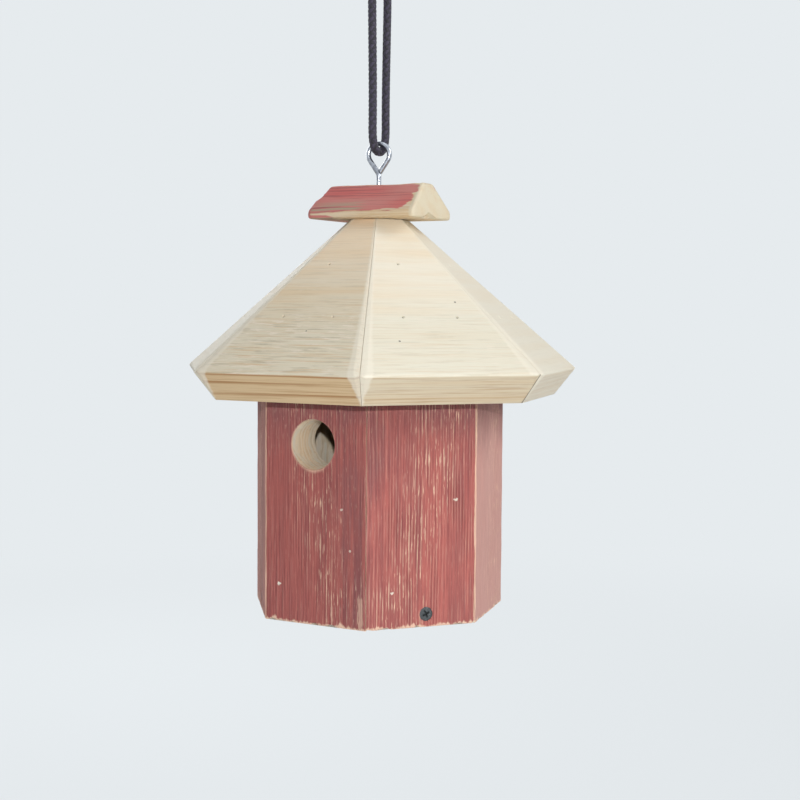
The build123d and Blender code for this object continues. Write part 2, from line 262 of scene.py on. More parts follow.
class BirdhouseColours(bpy.types.PropertyGroup):
    """Colours of the finishes"""

    red: colour("Barn red", "Paint that has kept its colour", 184, 104, 96)
    # Dark red is also the colour of the painted shade on the entrance board
    dark_red: colour("Dark red", "Paint in the grooves", 140, 78, 77)
    faded_red: colour("Faded red", "Paint bleached by the sun", 205, 158, 148)
    # Grime of the dirt streaks, also used for the painted shade under the eave
    grime_and_eave_shade: colour("Grime", "Dirt streaks, and painted shade under the eave", 130, 88, 90)
    worn: colour("Worn wood", "Wood bared where the paint has gone", 240, 203, 177)
    chip: colour("Chip", "Fresh chips", 240, 228, 212)
    # Inside wood is also mixed into the upper part of the browner roof boards, partly as painted light
    inside: colour("Inside wood", "Bare wood inside, in the bore and near the peak", 250, 228, 198)
    roof: colour("Roof wood", "Bare wood of the roof", 238, 231, 214)
    roof_tan: colour("Roof tan", "Darker bands of the roof boards", 230, 209, 176)
    roof_grey: colour("Roof grey", "Weathered lower part of the roof boards", 219, 216, 198)
    weathered: colour("Weathered lines", "Grey lines left by the saw in the roof boards", 176, 164, 140)
    fascia: colour("Eave wood", "Cut face of the eaves", 214, 186, 146)
    ring: colour("Growth ring", "Dark growth rings in the eaves", 166, 118, 72)
    sanded: colour("Sanded wood", "Freshly sanded hips", 238, 231, 214)
    cap_red: colour("Cap red", "Paint on the slopes of the cap", 206, 112, 108)
    cap_end: colour("Cap end", "Smooth sawn end of the cap", 222, 210, 184)
    zinc: colour("Zinc", "Plated wire of the eye", 184, 188, 196)
    screw: colour("Black screw", "Coating of the floor screws", 84, 88, 90)
    brad: colour("Brad steel", "Dull steel of the brads", 66, 58, 50)
    cord: colour("Cord", "Black yarn of the cord", 30, 27, 36)
    stage: colour("Stage", "Floor and backdrop", 230, 235, 238)


class House:
    """Places that follow from the frame and the sizes. Apothems are measured from the upright axis."""

    def __init__(self, sizes):
        low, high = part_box("wall_front")
        self.foot = low.z
        self.wall = -low.y
        self.cavity = -high.y
        self.slope = sizes.roof_slope
        self.under_apex = high.z + self.cavity * math.tan(self.slope)
        self.upper_apex = self.under_apex + sizes.roof_thickness / math.cos(self.slope)
        low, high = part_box("roof_panel_front")
        self.eave = -low.y
        self.roof_top = high.z
        self.mitre_tip = sizes.glue_line / 2 / math.sin(HALF)

    def under(self, apothem):
        return self.under_apex - apothem * math.tan(self.slope)

    def upper(self, apothem):
        return self.upper_apex - apothem * math.tan(self.slope)

    def half_width(self, apothem):
        return (apothem - self.mitre_tip) * math.tan(HALF)


def azimuth(board):
    return 2 * math.pi / SIDES * BOARDS.index(board)


def settings():
    scene = bpy.context.scene
    return scene.birdhouse_sizes, scene.birdhouse_hardware, scene.birdhouse_colours


# Meshes


def new_object(name, data):
    made = bpy.data.objects.new(name, data)
    bpy.context.scene.collection.objects.link(made)
    return made


def new_piece(name, places, faces):
    mesh = bpy.data.meshes.new(name)
    mesh.from_pydata(places, [], faces)
    return new_object(name, mesh)


def point_outwards(mesh):
    work = bmesh.new()
    work.from_mesh(mesh)
    bmesh.ops.remove_doubles(work, verts=work.verts, dist=1e-7)
    bmesh.ops.recalc_face_normals(work, faces=work.faces)
    work.to_mesh(mesh)
    work.free()


def skin_faces(rows, count, first=0):
    """Faces of a closed skin through rows of rings, with its two ends filled."""
    index = np.arange(rows * count).reshape(rows, count) + first
    low, high = index[:-1], index[1:]
    quads = np.stack([low, np.roll(low, -1, 1), np.roll(high, -1, 1), high], -1).reshape(-1, 4)
    return quads.tolist() + [index[0][::-1].tolist(), index[-1].tolist()]


def skin(name, rings):
    """Closed piece through rings, an array of rows by points by 3."""
    rows, count = rings.shape[:2]
    piece = new_piece(name, rings.reshape(-1, 3).tolist(), skin_faces(rows, count))
    point_outwards(piece.data)
    return piece


def outline(corners, eases, steps):
    """Closed 2-D outline with eased corners. A step is the spacing of points on the run after its corner."""
    corners = [np.array(corner, float) for corner in corners]
    points = []
    for i, corner in enumerate(corners):
        following = corners[(i + 1) % len(corners)]
        back = corners[i - 1] - corner
        ahead = following - corner
        span = np.linalg.norm(ahead)
        start = corner + ahead / span * eases[i]
        end = following - ahead / span * eases[(i + 1) % len(corners)]
        arrive = corner + back / np.linalg.norm(back) * eases[i]
        for t in (0, 1 / 3, 2 / 3, 1):
            points.append((1 - t) ** 2 * arrive + 2 * t * (1 - t) * corner + t * t * start)
        count = max(1, round(np.linalg.norm(end - start) / steps[i]))
        points += [start + (end - start) * k / count for k in range(1, count)]
    return np.array(points)


def full_turn(count):
    """Angles that go evenly once round."""
    return np.linspace(0, 2 * math.pi, count, endpoint=False)


def lathe(name, profile, segments, place=None):
    """Closed piece turned about z from (radius, height) points."""
    turn = full_turn(segments)
    ring = np.stack([np.cos(turn), np.sin(turn)], -1)
    rings = np.array([[(r * x, r * y, z) for x, y in ring] for r, z in profile])
    piece = skin(name, rings)
    if place is not None:
        piece.data.transform(place)
    return piece


def turned(points, radians):
    """Points turned about the upright axis."""
    cos, sin = math.cos(radians), math.sin(radians)
    x, y, z = points[..., 0], points[..., 1], points[..., 2]
    return np.stack([cos * x - sin * y, sin * x + cos * y, z], -1)


def vertices(mesh):
    flat = np.zeros(len(mesh.vertices) * 3, np.float32)
    mesh.vertices.foreach_get("co", flat)
    return flat.reshape(-1, 3).astype(float)


def bake(piece):
    """Turns a piece with modifiers into a plain mesh."""
    depsgraph = bpy.context.evaluated_depsgraph_get()
    mesh = bpy.data.meshes.new_from_object(piece.evaluated_get(depsgraph))
    piece.modifiers.clear()
    piece.data = mesh


def cut(piece, cutter):
    modifier = piece.modifiers.new("cut", "BOOLEAN")
    modifier.operation = "DIFFERENCE"
    modifier.solver = "EXACT"
    modifier.object = cutter
    bake(piece)
    bpy.data.objects.remove(cutter)


def note(mesh, name, values):
    """Keeps one value or vector for each vertex, for the materials to read."""
    values = np.asarray(values, np.float32)
    vector = values.ndim == 2
    attribute = mesh.attributes.new(name, "FLOAT_VECTOR" if vector else "FLOAT", "POINT")
    attribute.data.foreach_set("vector" if vector else "value", values.ravel())


def note_all(mesh, name, value):
    """Keeps the same value for every vertex."""
    note(mesh, name, np.full(len(mesh.vertices), value))


def dress(piece, node, material, sharp=40):
    """Gives a piece its finish, and sets it in the place of its node."""
    piece.data.materials.clear()
    piece.data.materials.append(material)
    piece.data.shade_smooth()
    piece.data.set_sharp_from_angle(angle=math.radians(sharp))
    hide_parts(node)
    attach(piece, BODY[node])


# Nodes


class Nodes:
    """Short words for the nodes of one material or Geometry Nodes tree."""

    def __init__(self, tree):
        self.tree = tree

    def put(self, socket, value):
        if isinstance(value, bpy.types.NodeSocket):
            self.tree.links.new(value, socket)
        elif socket.type == "RGBA" and len(value) == 3:
            socket.default_value = (*value, 1)
        else:
            socket.default_value = value

    def fill(self, node, inputs):
        for key, value in inputs.items():
            self.put(node.inputs[key], value)

    def add(self, kind, inputs=None, **values):
        node = self.tree.nodes.new(kind)
        for name, value in values.items():
            setattr(node, name, value)
        self.fill(node, inputs or {})
        return node

    def math(self, operation, first, second=0.0):
        return self.add("ShaderNodeMath", {0: first, 1: second}, operation=operation).outputs[0]

    def plus(self, first, second):
        return self.math("ADD", first, second)

    def minus(self, first, second):
        return self.math("SUBTRACT", first, second)

    def times(self, *factors):
        product = factors[0]
        for factor in factors[1:]:
            product = self.math("MULTIPLY", product, factor)
        return product

    def most(self, *values):
        largest = values[0]
        for value in values[1:]:
            largest = self.math("MAXIMUM", largest, value)
        return largest

    def sum(self, *terms):
        """Sum of terms, each a value and its weight."""
        total = self.times(*terms[0])
        for term in terms[1:]:
            total = self.plus(total, self.times(*term))
        return total

    def line(self, value, slope, start):
        return self.plus(self.times(value, slope), start)

    def swing(self, value, size):
        """A value between 0 and 1, made to swing about 0 over a size."""
        return self.times(self.minus(value, 0.5), size)

    def vector(self, operation, first, second):
        return self.add("ShaderNodeVectorMath", {0: first, 1: second}, operation=operation).outputs[0]

    def scaled(self, vector, scale):
        return self.add("ShaderNodeVectorMath", {0: vector, "Scale": scale}, operation="SCALE").outputs[0]

    def reach(self, vector):
        return self.add("ShaderNodeVectorMath", {0: vector}, operation="LENGTH").outputs["Value"]

    def split(self, vector):
        return self.add("ShaderNodeSeparateXYZ", {0: vector}).outputs

    def join(self, x, y, z):
        return self.add("ShaderNodeCombineXYZ", {0: x, 1: y, 2: z}).outputs[0]

    def noise(self, place, scale, detail=2.0, rough=0.5, bend=0.0):
        """Noise from 0 to 1, with its scale across, into and along the grain, per metre."""
        spot = self.vector("MULTIPLY", place, scale)
        inputs = {"Vector": spot, "Scale": 1.0, "Detail": detail, "Roughness": rough, "Distortion": bend}
        return self.add("ShaderNodeTexNoise", inputs).outputs[0]

    def span(self, value, low, high, start=0.0, end=1.0):
        """Smooth step of a value from start at low to end at high."""
        inputs = {"Value": value, "From Min": low, "From Max": high, "To Min": start, "To Max": end}
        return self.add("ShaderNodeMapRange", inputs, interpolation_type="SMOOTHSTEP").outputs[0]

    def mix(self, share, first, second, blend="MIX"):
        inputs = {0: share, 6: first, 7: second}
        return self.add("ShaderNodeMix", inputs, data_type="RGBA", blend_type=blend).outputs[2]

    def noted(self, name, output="Fac"):
        """What a material reads of a note on the mesh."""
        return self.add("ShaderNodeAttribute", attribute_name=name).outputs[output]

    def named(self, name, kind):
        """What Geometry Nodes read of a note on the mesh."""
        node = self.add("GeometryNodeInputNamedAttribute", {"Name": name}, data_type=kind)
        return next(socket for socket in node.outputs if socket.enabled and socket.name == "Attribute")

    def own_place(self):
        return self.add("ShaderNodeTexCoord").outputs["Object"]

    def spot(self, place, middle, halves, jolt):
        """Share of a small oval spot, 1 inside it. A half of None leaves that direction out."""
        apart = self.vector("SUBTRACT", place, middle)
        scale = tuple(1 / half if half else 0.0 for half in halves)
        return self.span(self.plus(self.reach(self.vector("MULTIPLY", apart, scale)), jolt), 1.0, 0.6)

    def bump(self, height, distance, strength=1.0):
        inputs = {"Height": height, "Distance": distance, "Strength": strength}
        return self.add("ShaderNodeBump", inputs).outputs["Normal"]

    def hand_over(self, geometry, finish):
        """Ends a Geometry Nodes tree in plain geometry with its finish."""
        whole = self.add("GeometryNodeRealizeInstances", {0: geometry})
        done = self.add("GeometryNodeSetMaterial", {"Geometry": whole.outputs[0], "Material": finish})
        self.add("NodeGroupOutput", {0: done.outputs[0]})


def new_tree(name, inputs, output):
    """A Geometry Nodes tree with named inputs, its nodes and what it is given."""
    tree = bpy.data.node_groups.new(name, "GeometryNodeTree")
    for socket, kind in inputs.items():
        tree.interface.new_socket(socket, in_out="INPUT", socket_type="NodeSocket" + kind)
    tree.interface.new_socket(output, in_out="OUTPUT", socket_type="NodeSocketGeometry")
    n = Nodes(tree)
    return tree, n, n.add("NodeGroupInput").outputs


def run_tree(piece, tree, inputs):
    """Runs a Geometry Nodes tree on a piece and keeps the result as its mesh."""
    modifier = piece.modifiers.new(tree.name, "NODES")
    modifier.node_group = tree
    for item in tree.interface.items_tree:
        if item.in_out == "INPUT" and item.name in inputs:
            modifier[item.identifier] = inputs[item.name]
    bake(piece)


def grain(n, place, pitch, regular=1.0):
    """Height of the raised grain, from 0 to 1. The relief and the paint both follow it."""
    across = n.split(place)[0]
    wander = n.noise(place, (38, 38, 5), 2)
    phase = n.plus(n.math("DIVIDE", across, pitch), n.times(wander, 4.5))
    wave = n.math("SINE", n.times(phase, 2 * math.pi))
    strength = n.span(n.noise(place, (95, 95, 24), 3), 0.34, 0.68, 0.03, 0.38)
    fibre = n.noise(place, (1050, 1050, 52), 3)
    return n.plus(n.plus(n.times(wave, strength, regular), n.swing(fibre, 1.4)), 0.5)


def grain_tree():
    """Geometry Nodes that raise the grain of a board along its normals, where its relief note allows."""
    sizes = ("Pitch", "Regularity", "Relief", "Unevenness", "Seed")
    inputs = {"Board": "Geometry"} | dict.fromkeys(sizes, "Float") | {"Finish": "Material"}
    tree, n, given = new_tree("raised_grain", inputs, "Board")
    place = n.vector("ADD", n.named("board", "FLOAT_VECTOR"), n.join(0.0, 0.0, given["Seed"]))
    ridges = n.swing(grain(n, place, given["Pitch"], given["Regularity"]), given["Relief"])
    swell = n.swing(n.noise(place, (24, 24, 14), 3), given["Unevenness"])
    height = n.times(n.plus(ridges, swell), n.named("relief", "FLOAT"))
    shift = n.scaled(n.add("GeometryNodeInputNormal").outputs[0], height)
    moved = n.add("GeometryNodeSetPosition", {"Geometry": given["Board"], "Offset": shift})
    n.hand_over(moved.outputs[0], given["Finish"])
    return tree


def raise_grain(piece, pitch, regular, relief, unevenness, seed, finish):
    tree = bpy.data.node_groups.get("raised_grain") or grain_tree()
    inputs = {"Pitch": pitch, "Regularity": regular, "Relief": relief, "Unevenness": unevenness}
    run_tree(piece, tree, inputs | {"Seed": seed, "Finish": finish})


# Finishes


def finish_of(name):
    """A material with its nodes and its shader."""
    material = bpy.data.materials.new(name)
    material.use_nodes = True
    return material, Nodes(material.node_tree), material.node_tree.nodes["Principled BSDF"]


def scaled_colour(shade, factors):
    """A colour with each of its parts made larger or smaller."""
    return tuple(value * factor for value, factor in zip(shade, factors))


def board_places(n):
    """Places on a board, and the same places moved along by its seed, where its own grain is read."""
    board = n.noted("board", "Vector")
    return board, n.vector("ADD", board, n.join(0.0, 0.0, n.noted("seed")))


def bare_wood(n, place, pale, dark):
    """Colour of bare sawn wood."""
    bands = n.noise(place, (130, 130, 6), 3, 0.55)
    lines = n.noise(place, (1000, 1000, 26), 3)
    wood = n.mix(n.span(bands, 0.35, 0.68), pale, dark)
    return n.mix(n.span(lines, 0.45, 0.75, 0.0, 0.35), wood, dark, "MULTIPLY")


def barn_paint(sizes, colours, half_face):
    """Old barn paint on the outside of a board, worn along its grain, with bare wood behind it."""
    material, n, shader = finish_of("weathered_barn_red")
    board, place = board_places(n)
    across, into, along = n.split(board)
    ridge = grain(n, place, sizes.wall_grain, n.noted("even"))
    ragged = n.noise(place, (500, 500, 60), 3, 0.6)
    patchy = n.noise(place, (90, 90, 40), 2)

    # Red film, dark in the grooves, bleached or kept as its board is, and darkened as painted shade on a board
    # with a negative value
    patches = n.noise(place, (38, 38, 9), 4, 0.6)
    streaks = n.noise(place, (430, 430, 10), 4, 0.65)
    lines = n.noise(place, (1300, 1300, 26), 3, 0.6)
    shade = n.sum((patches, 0.5), (streaks, 0.5))
    red = n.mix(n.span(shade, 0.42, 0.62, 0.0, 0.8), colours.red, colours.dark_red)
    red = n.mix(n.span(lines, 0.52, 0.72, 0.0, 0.65), red, colours.dark_red)
    red = n.mix(n.span(lines, 0.46, 0.28, 0.0, 0.3), red, colours.faded_red)
    red = n.mix(n.span(ridge, 0.5, 0.12, 0.0, 0.66), red, colours.dark_red)
    red = n.mix(n.span(ridge, 0.58, 0.85, 0.0, 0.15), red, colours.faded_red)
    # Sun-bleached paint on faded boards; a negative value darkens the red as painted shade, as on the entrance
    # board
    bleach_and_shade = n.plus(n.noted("fade_and_shade"), n.swing(patches, 0.5))
    red = n.mix(n.span(bleach_and_shade, 0.0, 1.0), red, colours.faded_red)
    red = n.mix(n.span(bleach_and_shade, 0.0, -1.0, 0.0, 0.7), red, colours.dark_red)

    # Painted shade in blotches under the eave, and real dirt down the board's own streak, with pale flecks in both
    stain_and_shade_noise = n.noise(place, (30, 30, 15), 5, 0.65)
    height = n.plus(along, n.times(stain_and_shade_noise, 0.075))
    painted_eave_shade = n.times(n.span(height, 0.13, 0.18), n.span(stain_and_shade_noise, 0.22, 0.5), 0.75)
    run_down = n.span(n.plus(stain_and_shade_noise, n.times(streaks, 0.6)), 0.62, 1.0)
    dirt_and_eave_shade = n.most(painted_eave_shade, n.times(n.noted("dirt"), run_down, 0.6))
    # The grime colour darkens both the painted shade under the eave and the dirt streak
    red = n.mix(dirt_and_eave_shade, red, colours.grime_and_eave_shade)
    flecks = n.span(n.noise(place, (1400, 1400, 190), 2), 0.6, 0.72)
    red = n.mix(n.times(flecks, n.line(dirt_and_eave_shade, 0.35, 0.12)), red, colours.worn)

    # Ridges worn down to the wood in short and long lines, most of them in the worn streak
    patch = n.span(n.noise(place, (60, 60, 22), 3), 0.4, 0.65)
    zone = n.sum((n.noted("wear"), 0.75), (patch, 0.3))
    short = n.span(n.noise(place, (1500, 1500, 120), 2), 0.56, 0.65)
    tall = n.span(n.noise(place, (1600, 1600, 26), 2), 0.58, 0.68)
    dashes = n.times(n.most(short, tall), n.span(zone, 0.12, 0.8), n.span(ridge, 0.4, 0.62))
    red = n.mix(n.times(n.span(ridge, 0.6, 0.9), n.line(zone, 0.35, 0.06)), red, colours.worn)
    red = n.mix(n.times(dashes, 0.9), red, colours.worn)

    # Wood bared at the edges, at the foot and round the entrance
    edge = n.minus(half_face, n.math("ABSOLUTE", across))
    rub_reach = n.times(n.plus(n.times(ragged, patchy, 2.2), 0.3), n.noted("rub"), 0.0014)
    rubbed = n.span(n.minus(edge, rub_reach), -0.0005, 0.0001, 1.0, 0.0)
    splinters = n.times(ragged, patchy, 0.011)
    splintered = n.span(n.minus(along, splinters), -0.0022, -0.0008, 1.0, 0.0)
    frayed = n.span(n.minus(n.noted("rim"), n.times(patchy, 0.0011)), -0.0008, 0.0003, 0.9, 0.0)
    x, z, wide, high = RUBBED_FOOT
    corner = n.spot(place, (x, 0.0, z), (wide, None, high), n.swing(ragged, 4.5))
    bared = n.most(rubbed, splintered, frayed, n.times(corner, 0.52))
    red = n.mix(n.times(bared, 0.88), red, colours.worn)

    # Chips
    jolt = n.swing(n.noise(place, (900, 900, 700), 3, 0.6), 2.6)
    chips = 0.0
    for name, x, z, wide, high, strength in PAINT_CHIPS:
        middle = (x, 0.0, z + WALL_SEED * BOARDS.index(name))
        chips = n.most(chips, n.times(n.spot(place, middle, (wide, None, high), jolt), strength))
    red = n.mix(chips, red, colours.chip)

    # Bare wood inside and in the bore, with the growth rings that the bit has cut through
    bare = bare_wood(n, place, colours.inside, colours.sanded)
    ring_gap = 0.0036
    turns = n.sum((into, 2 * math.pi / ring_gap), (patchy, 18.0), (ragged, 7.0))
    swirl = n.math("SINE", turns)
    bare = n.mix(n.span(swirl, 0.3, 0.9, 0.0, 0.6), bare, colours.chip)
    bare = n.mix(n.span(swirl, -0.4, -0.9, 0.0, 0.4), bare, colours.fascia)
    painted = n.span(n.plus(into, n.times(ragged, 0.0006)), 0.0007, 0.0012, 1.0, 0.0)

    grit = n.noise(place, (1900, 1900, 500), 2)
    heights = n.sum((ridge, 0.8), (grit, 0.35), (lines, 0.3), (n.most(dashes, chips), -0.5))
    look = {
        "Base Color": n.mix(painted, bare, red),
        "Roughness": n.span(ridge, 0.1, 0.9, 0.86, 0.68),
        "Specular IOR Level": WOOD_GLOSS,
        "Normal": n.bump(heights, 0.0004, 0.7),
    }
    n.fill(shader, look)
    return material


def roof_wood(sizes, colours):
    """Bare sawn softwood, bleached on top, with its growth rings at the eave."""
    material, n, shader = finish_of("bare_roof_wood")
    board, place = board_places(n)
    across, into, _ = n.split(board)
    tone = n.noted("tone")
    brown = n.line(tone, 0.6, 0.4)
    aged = n.span(tone, -0.3, 0.1)

    # Upper face, with tan bands, paler and warmer near the peak on the browner boards, partly the wood's warmer
    # colour and partly painted light, and grey towards the eave
    bands = n.noise(place, (85, 85, 4.5), 3, 0.55)
    low = n.span(n.plus(across, n.times(bands, 0.05)), 0.105, 0.055)
    top = n.mix(n.times(n.span(bands, 0.4, 0.66), brown), colours.roof, colours.roof_tan)
    top = n.mix(n.times(tone, n.span(across, 0.05, 0.10, 0.78, 0.35)), top, colours.roof_tan)
    # Painted light, with some real warmth: the upper part of the browner boards is paled towards the inside wood's
    # colour
    top = n.mix(n.times(tone, n.span(across, 0.07, 0.115, 0.0, 0.8)), top, colours.inside)
    greyed = n.times(low, n.line(tone, 0.1, 0.5), n.line(aged, 0.7, 0.3))
    top = n.mix(greyed, top, colours.roof_grey)

    # Lines and scuffs that the saw left, stronger on the lower part
    rough = n.line(low, 0.7, 0.3)
    lines = n.noise(place, (820, 820, 24), 4, 0.6)
    top = n.mix(n.times(n.span(lines, 0.48, 0.7), rough, n.line(tone, 0.65, 0.23)), top, colours.fascia)
    sawn = n.noise(place, (640, 640, 36), 4, 0.65)
    top = n.mix(n.times(n.span(sawn, 0.5, 0.68), rough, n.line(tone, 0.42, 0.2)), top, colours.weathered)
    dashes = n.noise(place, (700, 700, 80), 3, 0.6)
    zone = n.span(n.noise(place, (40, 40, 9), 2), 0.34, 0.6)
    scuffs = n.times(n.span(dashes, 0.52, 0.64), zone, rough)
    top = n.mix(n.times(scuffs, n.line(tone, 0.6, 0.2)), top, colours.chip)

    # Cut face of the eave, with a dark ring along its upper edge on the browner boards
    rings = n.noise(n.vector("ADD", place, (0.3, 0.0, 0.0)), (30, 215, 2.2), 3, 0.6, 0.3)
    cut_face = n.mix(brown, n.mix(aged, colours.roof, colours.roof_grey), colours.fascia)
    cut_face = n.mix(n.times(n.span(rings, 0.42, 0.62), brown), cut_face, colours.fascia)
    cut_face = n.mix(n.times(n.span(rings, 0.54, 0.62), n.line(tone, 0.75, 0.12)), cut_face, colours.ring)
    cut_face = n.mix(n.times(n.span(lines, 0.45, 0.7), n.line(aged, 0.28, 0.12)), cut_face, colours.ring)
    first_ring = n.math("ABSOLUTE", n.minus(into, n.line(bands, 0.0022, 0.0006)))
    cut_face = n.mix(n.times(n.span(first_ring, 0.0010, 0.0002), tone, 0.8), cut_face, colours.ring)
    wood = n.mix(n.span(into, 0.0006, 0.0014), top, cut_face)

    # Sanded hips, opened joints and small dark marks
    ragged = n.noise(place, (420, 420, 120), 3)
    fresh = n.span(n.plus(n.noted("sanded"), n.swing(ragged, 0.9)), 0.2, 0.8, 0.0, 0.6)
    wood = n.mix(fresh, wood, colours.sanded)
    wood = n.mix(n.times(n.noted("crack"), 0.8), wood, colours.brad)
    jolt = n.swing(ragged, 1.5)
    mark_depth = 0.002
    for name, up, x, size in ROOF_MARKS:
        middle = (up, 0.0, x + ROOF_SEED * BOARDS.index(name))
        mark = n.spot(place, middle, (size, mark_depth, size), jolt)
        wood = n.mix(n.times(mark, 0.75), wood, colours.brad)

    saw = grain(n, place, sizes.roof_grain, ROOF_EVENNESS)
    grit = n.noise(place, (1500, 1500, 260), 2)
    look = {
        "Base Color": wood,
        "Roughness": n.span(lines, 0.2, 0.8, 0.82, 0.66),
        "Specular IOR Level": WOOD_GLOSS,
        "Normal": n.bump(n.sum((saw, 0.5), (grit, 0.14), (scuffs, 0.2)), 0.00014, 0.55),
    }
    n.fill(shader, look)
    return material


def cap_paint(sizes, colours):
    """Red paint left on the slopes of the cap, and bare wood on its ends and lower edge."""
    material, n, shader = finish_of("weathered_cap_red")
    place = n.noted("board", "Vector")
    patches = n.noise(place, (60, 60, 16), 3)
    streaks = n.noise(place, (480, 480, 17), 4, 0.65)

    # Red film, with grey stripes low on its left half
    red = n.mix(n.span(patches, 0.35, 0.65, 0.0, 0.45), colours.cap_red, colours.faded_red)
    red = n.mix(n.span(streaks, 0.5, 0.7, 0.0, 0.75), red, colours.dark_red)
    red = n.mix(n.span(streaks, 0.42, 0.3, 0.0, 0.35), red, colours.faded_red)
    stripes = n.span(n.noise(place, (420, 420, 24), 3), 0.44, 0.56)
    low = n.span(n.noted("above"), 0.46, 0.16)
    left = n.span(n.split(place)[2], 0.008, -0.006)
    red = n.mix(n.times(stripes, low, left, 0.85), red, colours.weathered)

    # Bare wood, smooth on the sawn end
    bare = bare_wood(n, place, colours.roof, colours.roof_tan)
    rings = n.noise(place, (50, 520, 7), 3)
    bare = n.mix(n.span(rings, 0.5, 0.66, 0.0, 0.4), bare, colours.ring)
    bare = n.mix(n.span(streaks, 0.4, 0.6, 0.25, 0.95), bare, colours.fascia)
    pores = n.noise(place, (140, 60, 900), 3)
    cut_face = n.mix(n.span(pores, 0.4, 0.7, 0.0, 0.3), colours.cap_end, colours.fascia)
    bare = n.mix(n.noted("end"), bare, cut_face)
    ragged = n.noise(place, (330, 330, 55), 4, 0.6)
    painted = n.span(n.plus(n.noted("paint"), n.swing(ragged, 1.2)), 0.44, 0.58)

    ridge = grain(n, place, sizes.roof_grain, CAP_EVENNESS)
    grit = n.noise(place, (1500, 1500, 300), 2)
    heights = n.sum((ridge, 0.6), (grit, 0.3), (painted, 0.25), (streaks, 0.6))
    look = {
        "Base Color": n.mix(painted, bare, red),
        "Roughness": n.span(streaks, 0.2, 0.8, 0.85, 0.65),
        "Specular IOR Level": WOOD_GLOSS,
        "Normal": n.bump(heights, 0.0004, 0.6),
    }
    n.fill(shader, look)
    return material


def inside_wood(colours):
    """Rough bare wood of the floor and of the block in the peak, with its grain along x."""
    material, n, shader = finish_of("bare_inside_wood")
    along, across, into = n.split(n.own_place())
    place = n.join(across, into, along)
    saw = n.noise(place, (60, 60, 900), 2)
    fibre = n.noise(place, (1200, 1200, 60), 2)
    look = {
        "Base Color": bare_wood(n, place, colours.inside, colours.fascia),
        "Roughness": 0.85,
        "Normal": n.bump(n.plus(saw, fibre), 0.0004, 0.6),
    }
    n.fill(shader, look)
    return material


def plated_wire(colours):
    """Bright zinc on bent wire, a little scratched and clouded."""
    material, n, shader = finish_of("bright_zinc")
    spot = n.own_place()
    clouds = n.noise(spot, (350, 350, 350), 3)
    scratches = n.noise(spot, (2600, 2600, 300), 2)
    dull = scaled_colour(colours.zinc, (0.55, 0.55, 0.57))
    look = {
        "Base Color": n.mix(n.span(clouds, 0.35, 0.7), colours.zinc, dull),
        "Metallic": 1.0,
        "Roughness": n.span(clouds, 0.3, 0.75, 0.16, 0.36),
        "Normal": n.bump(scratches, 0.00006, 0.5),
    }
    n.fill(shader, look)
    return material


def coated_steel(name, shade, metallic, rough):
    """Dark steel of the screws and brads, with its coating rubbed here and there."""
    material, n, shader = finish_of(name)
    rubs = n.noise(n.own_place(), (900, 900, 900), 3)
    bright = scaled_colour(shade, (2.6, 2.5, 2.4))
    look = {
        "Base Color": n.mix(n.span(rubs, 0.55, 0.75), shade, bright),
        "Metallic": metallic,
        "Roughness": n.span(rubs, 0.3, 0.7, rough + 0.12, rough - 0.12),
        "Normal": n.bump(rubs, 0.00008, 0.5),
    }
    n.fill(shader, look)
    return material


def braided_yarn(colours):
    """Black yarn with a soft sheen and fine filaments. Every other yarn is a little lighter, as a painted
    highlight, and lighter specks stand for dust and painted glints.
    """
    material, n, shader = finish_of("black_yarn")
    spot = n.own_place()
    filaments = n.noise(spot, (5200, 5200, 1500), 2)
    dust_and_glints = n.noise(spot, (900, 900, 500), 3)
    # Lit copy of the cord colour: a painted highlight on every other yarn, and painted glints in specks
    lit = scaled_colour(colours.cord, (4.2, 3.9, 4.5))
    share = n.plus(n.times(n.noted("yarn"), 0.6), n.span(dust_and_glints, 0.5, 0.75, 0.0, 0.4))
    look = {
        "Base Color": n.mix(share, colours.cord, lit),
        "Roughness": n.span(filaments, 0.2, 0.8, 0.75, 0.5),
        "Sheen Weight": 0.15,
        "Sheen Roughness": 0.4,
        "Normal": n.bump(filaments, 0.0002, 0.8),
    }
    n.fill(shader, look)
    return material


# Stage


def away(bearing, climb):
    """Direction from the house at a bearing from the entrance and a climb above the horizon."""
    level = math.cos(climb)
    return Vector((math.sin(bearing) * level, -math.cos(bearing) * level, math.sin(climb)))


